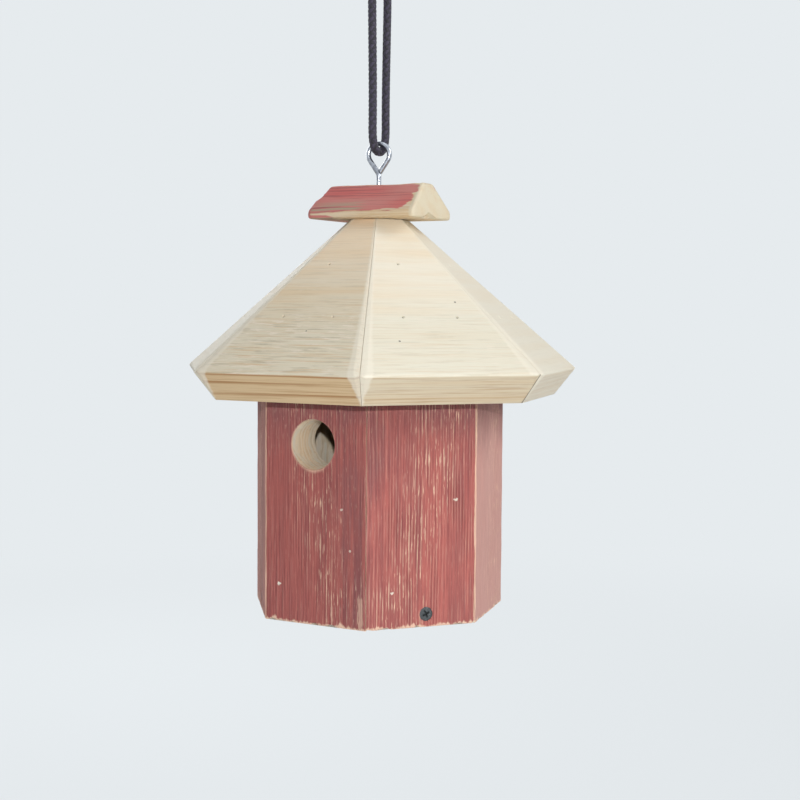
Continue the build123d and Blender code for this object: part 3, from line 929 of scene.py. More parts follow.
class BIRDHOUSE_OT_stage(bpy.types.Operator):
    """Makes the camera, the lights and the pale floor"""

    bl_idname = "birdhouse.stage"
    bl_label = "Camera, lights and floor"

    eye_place: bpy.props.FloatVectorProperty(
        name="Camera place",
        description="Where the camera stands",
        default=(0.4587, -0.7910, -0.1937),
        unit="LENGTH",
    )
    heading: angle("Heading", "Turn of the view from the way into the entrance", 29.25)
    pitch: angle("Pitch", "Fall of the view below the horizon", 3.47)
    roll: angle("Roll", "Turn of the camera about its own view", 0.39)
    lens: bpy.props.FloatProperty(name="Lens", description="Focal length", default=67.5, unit="CAMERA")
    drop: length("Floor drop", "From the foot of the house to the floor", 0.30)
    floor_radius: length("Floor radius", "From the house to the edge of the floor", 30.0)

    def camera(self):
        data = bpy.data.cameras.new("camera")
        data.lens = self.lens
        data.sensor_width = 36.0
        data.clip_start = 0.01
        camera = new_object("camera", data)
        view = -away(self.heading, self.pitch)
        turn = view.to_track_quat("-Z", "Y").to_matrix().to_4x4() @ Matrix.Rotation(self.roll, 4, "Z")
        camera.matrix_world = Matrix.Translation(self.eye_place) @ turn
        bpy.context.scene.camera = camera

    def lamp(self, name, bearing, climb, distance, diameter, power, target):
        """Soft round lamp that the camera doesn't see."""
        data = bpy.data.lights.new(name, "AREA")
        data.shape = "DISK"
        data.size = diameter
        data.energy = power
        lamp = new_object(name, data)
        way = away(math.radians(bearing), math.radians(climb))
        turn = way.to_track_quat("Z", "Y").to_matrix().to_4x4()
        lamp.matrix_world = Matrix.Translation(target + way * distance) @ turn
        lamp.visible_camera = False

    def seen_directly(self, n):
        path = n.add("ShaderNodeLightPath").outputs
        return n.most(path["Is Camera Ray"], path["Is Glossy Ray"], path["Is Transmission Ray"])

    def world(self, shade):
        world = bpy.data.worlds.new("studio")
        world.use_nodes = True
        bpy.context.scene.world = world
        n = Nodes(world.node_tree)
        seen = self.seen_directly(n)
        look = {
            "Color": n.mix(seen, WORLD_TINT, shade),
            "Strength": n.span(seen, 0.0, 1.0, WORLD_LIGHT, 1.0),
        }
        n.fill(world.node_tree.nodes["Background"], look)

    def floor(self, shade, level):
        """Round floor that melts into the backdrop, keeps the shadow and is clear from below."""
        material, n, shader = finish_of("pale_floor")
        n.fill(shader, {"Base Color": shade, "Roughness": 0.9})
        glow = n.add("ShaderNodeEmission", {"Color": shade, "Strength": 1.0})
        far = n.span(n.reach(n.own_place()), 0.6, 2.2, 0.75, 1.0)
        share = n.times(self.seen_directly(n), far)
        both = n.add("ShaderNodeMixShader", {0: share, 1: shader.outputs[0], 2: glow.outputs[0]})
        under = n.add("ShaderNodeNewGeometry").outputs["Backfacing"]
        clear = n.add("ShaderNodeBsdfTransparent")
        surface = n.add("ShaderNodeMixShader", {0: under, 1: both.outputs[0], 2: clear.outputs[0]})
        n.fill(material.node_tree.nodes["Material Output"], {"Surface": surface.outputs[0]})
        radius = self.floor_radius
        rim = [(radius * math.cos(t), radius * math.sin(t), level) for t in full_turn(64)]
        floor = new_piece("floor", rim, [list(range(len(rim)))])
        floor.data.materials.append(material)

    def execute(self, context):
        sizes, _, colours = settings()
        house = House(sizes)
        middle = Vector((0, 0, (house.foot + house.roof_top) / 2))
        self.camera()
        self.world(tuple(colours.stage))
        self.floor(tuple(colours.stage), house.foot - self.drop)
        for lamp in LAMPS:
            self.lamp(*lamp, middle)
        context.scene.view_settings.view_transform = "Standard"
        return {"FINISHED"}


# Cord


def read_route(name, points):
    """Points along the smooth curve that a route's points control."""
    curve = bpy.data.curves.new(name, "CURVE")
    curve.dimensions = "3D"
    spline = curve.splines.new("NURBS")
    spline.points.add(len(points) - 1)
    for point, place in zip(spline.points, points):
        point.co = (*place, 1)
    spline.order_u = 3
    spline.use_endpoint_u = True
    spline.resolution_u = 24
    holder = new_object(name, curve)
    depsgraph = bpy.context.evaluated_depsgraph_get()
    line = bpy.data.meshes.new_from_object(holder.evaluated_get(depsgraph))
    places = vertices(line)
    bpy.data.objects.remove(holder)
    bpy.data.curves.remove(curve)
    bpy.data.meshes.remove(line)
    return places


def travelled(points):
    """Distance of each point from the first, along the line."""
    return np.concatenate([[0], np.cumsum(np.linalg.norm(np.diff(points, axis=0), axis=1))])


def even(points):
    """Points along a line, evenly spaced for a rope."""
    travel = travelled(points)
    at = np.linspace(0, travel[-1], max(2, round(travel[-1] / ROPE_STEP) + 1))
    return np.stack([np.interp(at, travel, points[:, i]) for i in range(3)], -1)


def carried_frames(points):
    """Two directions across a line at each point, carried along it without twist."""
    ways = np.gradient(points, axis=0)
    ways /= np.linalg.norm(ways, axis=1)[:, None]
    side = np.cross(ways[0], (0.3, 0.9, 0.1))
    sides = []
    for way in ways:
        side = side - way * (side @ way)
        side /= np.linalg.norm(side)
        sides.append(side)
    sides = np.array(sides)
    return sides, np.cross(ways, sides)


def tube_rings(points, radius, around):
    """Rings of a tube along a line."""
    sides, ups = carried_frames(points)
    turn = full_turn(around)[None, :, None]
    return points[:, None] + radius * (np.cos(turn) * sides[:, None] + np.sin(turn) * ups[:, None])


def braid(points, diameter, lay, carriers=6):
    """Tubes of a braid's flat yarns round a line of even points: half go round each way, over and under."""
    sides, ups = carried_frames(points)
    travel = travelled(points)
    wide, thick = YARN_WIDTH * diameter, YARN_THICKNESS * diameter
    lap = full_turn(8)[None, :, None]
    tubes = []
    for sense in (1, -1):
        for k in range(carriers):
            turn = sense * (2 * math.pi * travel / lay) + 2 * math.pi * k / carriers
            outward = np.cos(turn)[:, None] * sides + np.sin(turn)[:, None] * ups
            weave = sense * np.cos(carriers * turn / 2 + math.pi * k)
            line = points + (diameter / 2 - thick + 0.5 * thick * weave)[:, None] * outward
            beside = np.cross(np.gradient(line, axis=0), outward)
            beside /= np.linalg.norm(beside, axis=1)[:, None]
            ring = wide * np.cos(lap) * beside[:, None] + thick * np.sin(lap) * outward[:, None]
            tubes.append(line[:, None] + ring)
    return tubes


def braided_rope(points, hardware, first=0, last=None):
    """Tubes of a braided rope between two of its points, with a core that closes the gaps."""
    diameter = hardware.cord_diameter
    tubes = braid(points, diameter, hardware.cord_lay) + [tube_rings(points, ROPE_CORE * diameter, 12)]
    return [tube[first:last] for tube in tubes]


def join_tubes(name, tubes):
    """One piece from several tubes of rings, with every other yarn of a rope noted for its painted highlight."""
    places, faces, yarns = [], [], []
    for i, rings in enumerate(tubes):
        rows, count = rings.shape[:2]
        faces += skin_faces(rows, count, len(places))
        places += rings.reshape(-1, 3).tolist()
        yarns += [float(i % 2)] * (rows * count)
    piece = new_piece(name, places, faces)
    note(piece.data, "yarn", yarns)
    point_outwards(piece.data)
    return piece


class BIRDHOUSE_OT_cord(bpy.types.Operator):
    """Braids the two strands of the cord and ties the knot that joins them"""

    bl_idname = "birdhouse.cord"
    bl_label = "Cord and knot"

    coils: number("Coils", "Turns of cord in the knot", 2.4)
    coil_radius: length("Coil radius", "From the knot's axis to the middle of its coils", 0.0050)
    coil_tuck: length("Coil tuck", "How far the first and last coil draw in", 0.0026)
    knot_height: length("Knot height", "Height of the knot without its tails", 0.015)

    def strands(self, hardware, finish, knot):
        back_route = [(-x, -y, z) for x, y, z in FRONT_ROUTE]
        front = even(read_route("front_route", FRONT_ROUTE))
        back = even(read_route("back_route", back_route))
        whole = np.concatenate([front[::-1], back[1:]])
        middle = len(front)
        spans = (
            ("cord_front_strand", front, 0, middle),
            ("cord_back_strand", back, middle - 1, len(whole)),
        )
        for node, path, first, last in spans:
            piece = join_tubes(node + "_braid", braided_rope(whole, hardware, first, last))
            dress(piece, node, finish, 60)

    def knot(self, hardware, finish):
        """Coils of the cord round its own two strands, and the two cut ends above them."""
        low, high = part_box("hanging_knot")
        foot = low.z + hardware.cord_diameter / 2
        climb = self.knot_height - hardware.cord_diameter

        def coil(turn, reach, share):
            return even(np.stack([reach * np.cos(turn), reach * np.sin(turn), foot + climb * share], -1))

        turn = np.linspace(0, 2 * math.pi * self.coils, 90)
        share = turn / turn[-1]
        from_end = np.clip(np.abs(share - 0.5) * 2 - 0.8, 0, 1) / 0.2
        tubes = braided_rope(coil(turn, self.coil_radius - self.coil_tuck * from_end, share), hardware)
        share = np.linspace(0, 1, 30)
        slant = coil(3.9 + 1.5 * share, self.coil_radius + 0.0002, 1 - share)
        tubes += braided_rope(slant, hardware)
        x, y, _ = FRONT_ROUTE[-1]
        for side in (-1, 1):
            top = high.z - 0.0003 * (side + 1)
            heights = (low.z, low.z + self.knot_height, top)
            tail = [(side * x * s, side * y * s, z) for s, z in zip((1, 1.02, 1), heights)]
            tubes += braided_rope(even(read_route("tail", tail)), hardware)
        piece = join_tubes("hanging_knot_braid", tubes)
        dress(piece, "hanging_knot", finish, 60)
        return piece

    def execute(self, context):
        _, hardware, colours = settings()
        finish = braided_yarn(colours)
        self.strands(hardware, finish, self.knot(hardware, finish))
        return {"FINISHED"}


# Hardware


def thread(height, turn, pitch):
    """Share of a thread's depth at a height and a turn: a sharp crest in a wide valley."""
    phase = (height / pitch - turn / (2 * math.pi)) % 1.0
    return np.clip(1 - np.abs(phase - 0.5) / 0.3, 0, 1)


class BIRDHOUSE_OT_screw_eye(bpy.types.Operator):
    """Bends the plated wire of the screw eye and cuts its thread"""

    bl_idname = "birdhouse.screw_eye"
    bl_label = "Screw eye"

    def path(self, hardware, lean, ring_height):
        """Line of the wire in the plane of the ring, as (sideways, height), from the point up and round."""
        radius, neck, bend = hardware.eye_ring, hardware.eye_neck, hardware.eye_bend
        corner = ring_height - neck
        bend_start = corner - bend * math.tan(lean / 2)
        shank = np.stack([np.zeros(260), np.linspace(corner - hardware.eye_shank, bend_start, 260)], -1)
        turn = np.linspace(0, lean, 10)
        neck_arc = np.stack([-bend * (1 - np.cos(turn)), bend_start + bend * np.sin(turn)], -1)
        sweep = np.linspace(math.pi + lean, -lean, 72)
        ring = np.stack([radius * np.cos(sweep), ring_height + radius * np.sin(sweep)], -1)
        leg = np.linspace(neck_arc[-1], ring[0], 12)
        stop = neck * math.cos(lean) - (hardware.eye_wire + hardware.eye_end_gap) / math.sin(2 * lean)
        end = ring[-1] + np.outer(np.linspace(0, stop, 12), (-math.sin(lean), -math.cos(lean)))
        return np.concatenate([shank[:-1], neck_arc[:-1], leg[:-1], ring[:-1], end])

    def cut_thread(self, hardware, points, rings, height):
        """Draws the shank's rings in to the thread and the point."""
        taper = np.clip(height / hardware.eye_point, 0.03, 1)
        straight = np.abs(points[:, 0]) < 1e-6
        for i in np.nonzero(straight & (height < hardware.eye_thread))[0]:
            spread = rings[i] - points[i]
            turn = np.arctan2(spread[:, 1], spread[:, 0])
            depth = EYE_CORE + (1 - EYE_CORE) * thread(height[i], turn, hardware.eye_pitch)
            rings[i] = points[i] + spread * (taper[i] * depth)[:, None]

    def execute(self, context):
        _, hardware, colours = settings()
        low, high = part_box("screw_eye")
        wire = hardware.eye_wire / 2
        ring_height = high.z - wire - hardware.eye_ring
        lean = math.asin(hardware.eye_ring / hardware.eye_neck)
        flat = self.path(hardware, lean, ring_height)
        points = np.stack([flat[:, 0], np.zeros(len(flat)), flat[:, 1]], -1)
        rings = tube_rings(points, wire, 24)
        self.cut_thread(hardware, points, rings, points[:, 2] - low.z)
        corner = np.array([0, 0, ring_height - hardware.eye_neck])
        clear = (rings[-1] - corner) @ (math.cos(lean), 0, math.sin(lean)) - wire - hardware.eye_end_gap
        rings[-1] -= np.outer(clear / math.sin(2 * lean), (math.sin(lean), 0, math.cos(lean)))
        piece = skin("screw_eye_wire", turned(rings, hardware.eye_turn))
        dress(piece, "screw_eye", plated_wire(colours), 50)
        return {"FINISHED"}


def fastener_tree():
    """Geometry Nodes that set a fastener on every point, with its axis along the point's way note."""
    kinds = {"Places": "Geometry", "Fastener": "Object", "Sink": "Float", "Seed": "Int"}
    tree, n, given = new_tree("set_fasteners", kinds | {"Finish": "Material"}, "Fasteners")
    way = n.named("way", "FLOAT_VECTOR")
    shape = n.add("GeometryNodeObjectInfo", {"Object": given["Fastener"]}, transform_space="ORIGINAL")
    upright = n.add("FunctionNodeAlignRotationToVector", {"Vector": way}, axis="Z")
    chance = n.add("FunctionNodeRandomValue", {3: 2 * math.pi, "Seed": given["Seed"]}, data_type="FLOAT")
    spin = n.add("FunctionNodeAxisAngleToRotation", {"Axis": (0, 0, 1), "Angle": chance.outputs[1]})
    turns = {0: upright.outputs[0], 1: spin.outputs[0]}
    pose = n.add("FunctionNodeRotateRotation", turns, rotation_space="LOCAL")
    points = n.add("GeometryNodeMeshToPoints", {0: given["Places"]})
    down = n.scaled(way, n.times(given["Sink"], -1.0))
    sunk = n.add("GeometryNodeSetPosition", {"Geometry": points.outputs[0], "Offset": down})
    inputs = {"Points": sunk.outputs[0], "Instance": shape.outputs["Geometry"], "Rotation": pose.outputs[0]}
    n.hand_over(n.add("GeometryNodeInstanceOnPoints", inputs).outputs[0], given["Finish"])
    return tree


def set_fasteners(name, fastener, places, ways, sink, seed, finish):
    """Copies of a fastener at places, with their heads along ways, as one plain piece."""
    tree = bpy.data.node_groups.get("set_fasteners") or fastener_tree()
    piece = new_piece(name, [tuple(place) for place in places], [])
    note(piece.data, "way", np.array(ways))
    run_tree(piece, tree, {"Fastener": fastener, "Sink": sink, "Seed": seed, "Finish": finish})
    return piece


def brad_spots(house):
    """Where the brads of the board at azimuth 0 go in, on the upper face of the roof."""
    lift = (house.upper_apex - house.under_apex) * math.cos(house.slope) * math.sin(house.slope)
    wall_row = house.wall - WALL_BRAD_INSET + lift
    block_row = house.cavity - BLOCK_BRAD_INSET + lift
    return [(along, -wall_row) for along in WALL_BRADS] + [(BLOCK_BRAD, -block_row)]


class BIRDHOUSE_OT_brads(bpy.types.Operator):
    """Drives the brads through the roof boards"""

    bl_idname = "birdhouse.brads"
    bl_label = "Roof brads"

    def blank(self, hardware):
        """A brad with its head's top at the origin and its axis along z."""
        head = hardware.brad_diameter / 2
        shank = 0.86 * head
        tip = -hardware.brad_length
        profile = (
            (0.2 * head, -0.00006),
            (0.75 * head, 0.0),
            (head, -0.00012),
            (head, -0.0005),
            (shank, -0.0009),
            (shank, tip + 0.0016),
            (0.1 * head, tip),
        )
        return lathe("brad", profile, 14)

    def execute(self, context):
        sizes, hardware, colours = settings()
        house = House(sizes)
        square = np.array([0, -math.sin(house.slope), math.cos(house.slope)])
        places, ways = [], []
        for board in BOARDS:
            for x, y in brad_spots(house):
                places.append(turned(np.array([x, y, house.upper(-y)]), azimuth(board)))
                ways.append(turned(square, azimuth(board)))
        finish = coated_steel("brad_steel", tuple(colours.brad), 0.8, 0.5)
        brad = self.blank(hardware)
        piece = set_fasteners("roof_brads_set", brad, places, ways, hardware.brad_sink, 5, finish)
        bpy.data.objects.remove(brad)
        dress(piece, "roof_brads", finish)
        return {"FINISHED"}


class BIRDHOUSE_OT_floor_screws(bpy.types.Operator):
    """Turns the floor screws, with their thread and cross recess"""

    bl_idname = "birdhouse.floor_screws"
    bl_label = "Floor screws"

    head_land: length("Head land", "Height of the straight edge of a head", 0.0004)

    def blank(self, hardware):
        """A screw with its head's top at the origin and its axis along z."""
        head, shank = hardware.screw_head / 2, hardware.screw_diameter / 2
        depth, pitch, land = hardware.screw_head_depth, hardware.screw_pitch, self.head_land
        rows = [(head * s, 0.0) for s in (0.05, 0.4, 0.7, 0.93)]
        rows += [(head, -0.00012), (head, -land)]
        for t in np.linspace(0, 1, 9)[1:]:
            rows.append((shank + (head - shank) * (1 - t) ** 1.8, -land - (depth - land) * t))
        turn = full_turn(28)
        circle = np.stack([np.cos(turn), np.sin(turn)], -1)
        rings = [[(r * x, r * y, z) for x, y in circle] for r, z in rows]
        for fall in np.arange(depth + pitch / 8, hardware.screw_length, pitch / 8):
            taper = np.clip((hardware.screw_length - fall) / hardware.screw_point, 0.05, 1)
            grown = np.clip((fall - depth) / pitch, 0, 1)
            crest = (1 - SCREW_CORE) * thread(-fall, turn, pitch) * grown
            reach = shank * taper * (SCREW_CORE + crest)
            rings.append([(r * x, r * y, -fall) for r, (x, y) in zip(reach, circle)])
        return skin("floor_screw", np.array(rings))

    def cut_recess(self, screw, hardware):
        span, width = hardware.recess_span / 2, hardware.recess_width / 2
        corners = np.array([(-1, -1), (1, -1), (1, 1), (-1, 1)])
        levels = ((1.12, 0.001), (1.0, 0.0), (0.5, -hardware.recess_depth))
        for size in ((span, width), (width, span)):
            rings = [[(x, y, z) for x, y in corners * size * s] for s, z in levels]
            cut(screw, skin("recess", np.array(rings)))

    def execute(self, context):
        sizes, hardware, colours = settings()
        house = House(sizes)
        finish = coated_steel("black_screw", tuple(colours.screw), 0.6, 0.45)
        screw = self.blank(hardware)
        self.cut_recess(screw, hardware)
        spot = np.array([hardware.screw_shift, -house.wall, house.foot + hardware.screw_height])
        for board in SCREWED_BOARDS:
            node = "floor_screw_" + board
            place = turned(spot, azimuth(board))
            way = np.array(JOINT[board + "_screw_out"]["axis"])
            seed = 3 + BOARDS.index(board)
            piece = set_fasteners(node + "_turned", screw, [place], [way], hardware.screw_sink, seed, finish)
            dress(piece, node, finish, 35)
        bpy.data.objects.remove(screw)
        return {"FINISHED"}


# Boards


def screw_cutter(house, hardware, board):
    """Hole of a floor screw through its wall and into the floor."""
    slack, mouth, deep = 0.0001, 0.004, 0.05
    head, shank = hardware.screw_head / 2 + slack, hardware.screw_diameter / 2 + slack
    depth = hardware.screw_head_depth
    waist = ((head + shank) / 2 - 0.0003, -depth / 2)
    profile = ((head, mouth), (head, 0.0), waist, (shank, -depth), (shank, -deep))
    face = hardware.screw_sink - house.wall
    spot = Matrix.Translation((hardware.screw_shift, face, house.foot + hardware.screw_height))
    place = Matrix.Rotation(azimuth(board), 4, "Z") @ spot @ Matrix.Rotation(math.pi / 2, 4, "X")
    return lathe("screw_hole", profile, 24, place)


def entrance_middle():
    (x0, _, z0), (x1, _, z1) = OPENING["entrance_hole"]
    return (x0 + x1) / 2, (z0 + z1) / 2


class BIRDHOUSE_OT_walls(bpy.types.Operator):
    """Makes the seven mitred wall boards, with the entrance in the front one"""

    bl_idname = "birdhouse.walls"
    bl_label = "Wall boards"

    column: length("Column", "Spacing of points across a face", 0.00046)
    row: length("Row", "Spacing of points up a face", 0.0026)
    chip: length("Chip", "Deepest splinter at the foot of a wall", 0.0016)
    splinters: bpy.props.IntProperty(name="Splinters", description="Splinters at a wall's foot", default=16)

    def splinter_lift(self, across, into, outer, rng):
        """How far the foot of a wall is lifted where splinters have come off its outside."""
        middles = rng.uniform(-outer, outer, self.splinters)
        widths = rng.uniform(0.0006, 0.004, self.splinters)
        lift = np.zeros(len(across))
        for middle, width, deep in zip(middles, widths, rng.random(self.splinters)):
            shape = np.clip(1.3 - np.abs(across - middle) / width, 0, 1)
            lift = np.maximum(lift, deep**3 * self.chip * shape)
        return lift * np.clip(1 - into / 0.003, 0, 1)

    def rings(self, house, sizes, rng):
        """Rings of a board at azimuth 0, from its foot up to the underside of the roof."""
        outer, inner = house.half_width(house.wall), house.half_width(house.cavity)
        thick, ease = house.wall - house.cavity, sizes.arris
        corners = ((-outer, 0), (outer, 0), (inner, thick), (-inner, thick))
        plan = outline(corners, (ease, ease, ease / 2, ease / 2), (self.column, 0.008, 0.006, 0.008))
        across, into = plan[:, 0], plan[:, 1]
        lift = self.splinter_lift(across, into, outer, rng)
        tall = house.under(house.wall) - house.foot
        eased = ease * np.array([0, 0.15, 0.45, 1])
        rings = []
        for level in np.concatenate([eased, np.linspace(0.003, tall, round(tall / self.row))]):
            tuck = ease * (1 - math.sqrt(1 - (1 - min(level / ease, 1)) ** 2))
            depth = into + tuck * (into < ease)
            height = level * (1 + into * math.tan(house.slope) / tall)
            height = height + lift * max(0, 1 - level / 0.012)
            rings.append(np.stack([across, depth - house.wall, house.foot + height], -1))
        return np.array(rings)

    def entrance(self, house, sizes):
        """Cutter for the entrance, with the ridges that the bit left and a slightly rounded mouth."""
        past = 0.003
        depth = np.linspace(-past, house.wall - house.cavity + past, 60)
        mouth = 0.0006 * np.clip(1 - depth / 0.001, 0, 1) ** 2
        ridge = 0.00016 * np.sin(depth * 2 * math.pi / 0.0019) * (depth > 0.002)
        profile = list(zip(sizes.entrance / 2 + mouth + ridge, -depth))
        x, z = entrance_middle()
        place = Matrix.Translation((x, -house.wall, z)) @ Matrix.Rotation(math.pi / 2, 4, "X")
        return lathe("entrance", profile, 96, place)

    def from_rim(self, places, sizes):
        """Distance of places from the rim of the entrance, shortened below it, where feet wear the paint."""
        middle_x, middle_z = entrance_middle()
        x, z = places[:, 0] - middle_x, places[:, 2] - middle_z
        reach = np.hypot(x, z)
        return (reach - sizes.entrance / 2) * (1 + 0.65 * z / reach)

    def age(self, mesh, house, board, local):
        """Notes how a board has aged, for its paint."""
        across = local[:, 0] / house.half_width(house.wall)
        climb = (local[:, 2] - house.foot) / (house.under(house.wall) - house.foot)

        def streak(foot, head, width):
            return np.exp(-(((across - foot - (head - foot) * climb) / width) ** 2))

        left, right = EDGE_WEAR[board]
        note_all(mesh, "fade_and_shade", WALL_FADE_AND_SHADE[board])
        note_all(mesh, "even", WALL_EVENNESS[board])
        note(mesh, "wear", streak(*WORN_STREAK[board]))
        note(mesh, "dirt", streak(*DIRTY_STREAK[board]))
        note(mesh, "rub", np.where(across < 0, left, right))

    def execute(self, context):
        sizes, hardware, colours = settings()
        house = House(sizes)
        finish = barn_paint(sizes, colours, house.half_width(house.wall))
        rng = np.random.default_rng(11)
        for board in BOARDS:
            node = "wall_" + board
            way = azimuth(board)
            seed = WALL_SEED * BOARDS.index(board)
            piece = skin(node + "_board", turned(self.rings(house, sizes, rng), way))
            if board == "front":
                cut(piece, self.entrance(house, sizes))
            if board in SCREWED_BOARDS:
                cut(piece, screw_cutter(house, hardware, board))
            local = turned(vertices(piece.data), -way)
            into = local[:, 1] + house.wall
            note(piece.data, "board", np.stack([local[:, 0], into, local[:, 2] - house.foot], -1))
            note(piece.data, "relief", into < 0.0003)
            note(piece.data, "rim", self.from_rim(local, sizes) if board == "front" else np.ones(len(local)))
            note_all(piece.data, "seed", seed)
            self.age(piece.data, house, board, local)
            even_grain, relief, swell = WALL_EVENNESS[board], sizes.wall_relief, sizes.wall_swell
            raise_grain(piece, sizes.wall_grain, even_grain, relief, swell, seed, finish)
            dress(piece, node, finish)
        return {"FINISHED"}


class BIRDHOUSE_OT_roof(bpy.types.Operator):
    """Makes the seven mitred roof boards, with sanded hips and leaning eaves"""

    bl_idname = "birdhouse.roof"
    bl_label = "Roof boards"

    row: length("Row", "Spacing of points up the slope", 0.0008)
    eye_room: length("Eye room", "From the axis to the tip of a board", 0.0022)
    corner_fall: length("Corner fall", "Height in which the sanding of an eave's corner runs out", 0.017)
    band_eave: length("Band at the eave", "Width of the pale sanded band beside a hip, at the eave", 0.0070)
    band_top: length("Band at the top", "Width of that band at the top of the roof", 0.0010)
    columns: bpy.props.IntProperty(name="Columns", description="Points along the eave", default=64)

    def profile(self, house, sizes):
        """Outline of a board as (apothem, height): soffit, eave and upper face."""
        lean = sizes.eave_lean
        run = sizes.roof_thickness / math.cos(house.slope - lean)
        eave = (house.eave, house.upper(house.eave))
        drip = (eave[0] - run * math.sin(lean), eave[1] - run * math.cos(lean))
        tip = self.eye_room
        corners = (
            (tip, house.under(tip)),
            drip,
            eave,
            (sizes.peak_flat, house.roof_top),
            (tip, house.roof_top),
        )
        eases = (0.0003, 0.0009, sizes.eave_ease, 0.0004, 0.0003)
        return outline(corners, eases, (0.006, self.row, self.row, 0.006, 0.006))

    def sand(self, house, sizes, places):
        """Takes the hips down to the line that a sander leaves, deepest at the eave."""
        hip = 1 / math.cos(HALF)
        low = (house.eave * hip, house.upper(house.eave) - sizes.hip_ease)
        high = (sizes.peak_flat * hip, house.roof_top)
        fall = (high[1] - low[1]) / (low[0] - high[0])
        x, apothem, height = places[..., 0], -places[..., 1], places[..., 2]
        reach = np.abs(x) * math.sin(HALF) + apothem * math.cos(HALF)
        over = height - (high[1] - fall * (reach - high[0]))
        softness = 0.0001
        drop = 0.5 * (over + np.sqrt(over * over + softness * softness))
        places[..., 2] = height - np.where(over > -0.002, drop, 0)
        below = np.maximum(house.upper(house.eave) - height, 0)
        face = house.eave - below * math.tan(sizes.eave_lean)
        limit = face * hip - sizes.hip_ease * np.maximum(1 - below / self.corner_fall, 0)
        over = np.where(apothem > face - self.corner_fall, np.maximum(reach - limit, 0), 0)
        places[..., 0] -= np.sign(x) * over * math.sin(HALF)
        places[..., 1] += over * math.cos(HALF)

    def rings(self, house, sizes):
        """Rings of a board at azimuth 0, from hip to hip, closer together near the hips."""
        profile = self.profile(house, sizes)
        half = house.half_width(profile[:, 0])
        crowding = math.pi / 2 * 0.92
        shares = np.sin(np.linspace(-1, 1, self.columns) * crowding) / math.sin(crowding)
        rings = np.array([np.stack([share * half, -profile[:, 0], profile[:, 1]], -1) for share in shares])
        self.sand(house, sizes, rings)
        return rings

    def pit(self, house, hardware, spot, way):
        """Cutter for the hole that a brad leaves over its head."""
        radius = hardware.brad_diameter / 2 + 0.00008
        profile = ((radius * 1.7, 0.003), (radius * 1.5, 0.0), (radius, -0.0005), (radius, -0.0025))
        x, y = spot
        lean = Matrix.Rotation(house.slope, 4, "X")
        place = Matrix.Rotation(way, 4, "Z") @ Matrix.Translation((x, y, house.upper(-y))) @ lean
        return lathe("brad_pit", profile, 16, place)

    def notes(self, mesh, house, sizes, board, seed):
        """Notes a board's grain places, up the slope, into it and along the eave, and its sanded hips."""
        local = turned(vertices(mesh), -azimuth(board))
        x, apothem, height = local[:, 0], -local[:, 1], local[:, 2]
        cos, sin = math.cos(house.slope), math.sin(house.slope)
        into = (house.upper(apothem) - height) * cos
        up = (house.eave - apothem) * cos + (height - house.upper(house.eave)) * sin
        note(mesh, "board", np.stack([up, into, x], -1))
        note_all(mesh, "seed", seed)
        note_all(mesh, "tone", ROOF_TONES[board])
        inside = np.abs(x) < house.half_width(apothem) - 0.0003
        soffit = into > sizes.roof_thickness - 0.0005
        note(mesh, "relief", inside & ~soffit & (apothem > sizes.peak_flat))
        share = (apothem - sizes.peak_flat) / (house.eave - sizes.peak_flat)
        below = np.maximum(house.upper(house.eave) - height, 0) / self.corner_fall
        band = (self.band_top + (self.band_eave - self.band_top) * share**2) * np.clip(1 - below, 0, 1)
        from_hip = (house.half_width(apothem) - np.abs(x)) * math.cos(HALF)
        opened = (x > 0) & (below > 0) & (board in OPEN_JOINTS)
        note(mesh, "sanded", np.clip((band - from_hip) / 0.0030 + 0.5, 0, 1) * ~opened)
        note(mesh, "crack", np.clip(1.5 - from_hip / 0.0006, 0, 1) * opened)

    def execute(self, context):
        sizes, hardware, colours = settings()
        house = House(sizes)
        finish = roof_wood(sizes, colours)
        rings = self.rings(house, sizes)
        relief, swell = sizes.roof_relief, sizes.roof_swell
        for board in BOARDS:
            node = "roof_panel_" + board
            way = azimuth(board)
            seed = ROOF_SEED * BOARDS.index(board)
            piece = skin(node + "_board", turned(rings, way))
            for spot in brad_spots(house):
                cut(piece, self.pit(house, hardware, spot, way))
            self.notes(piece.data, house, sizes, board, seed)
            raise_grain(piece, sizes.roof_grain, ROOF_EVENNESS, relief, swell, seed, finish)
            dress(piece, node, finish)
        return {"FINISHED"}


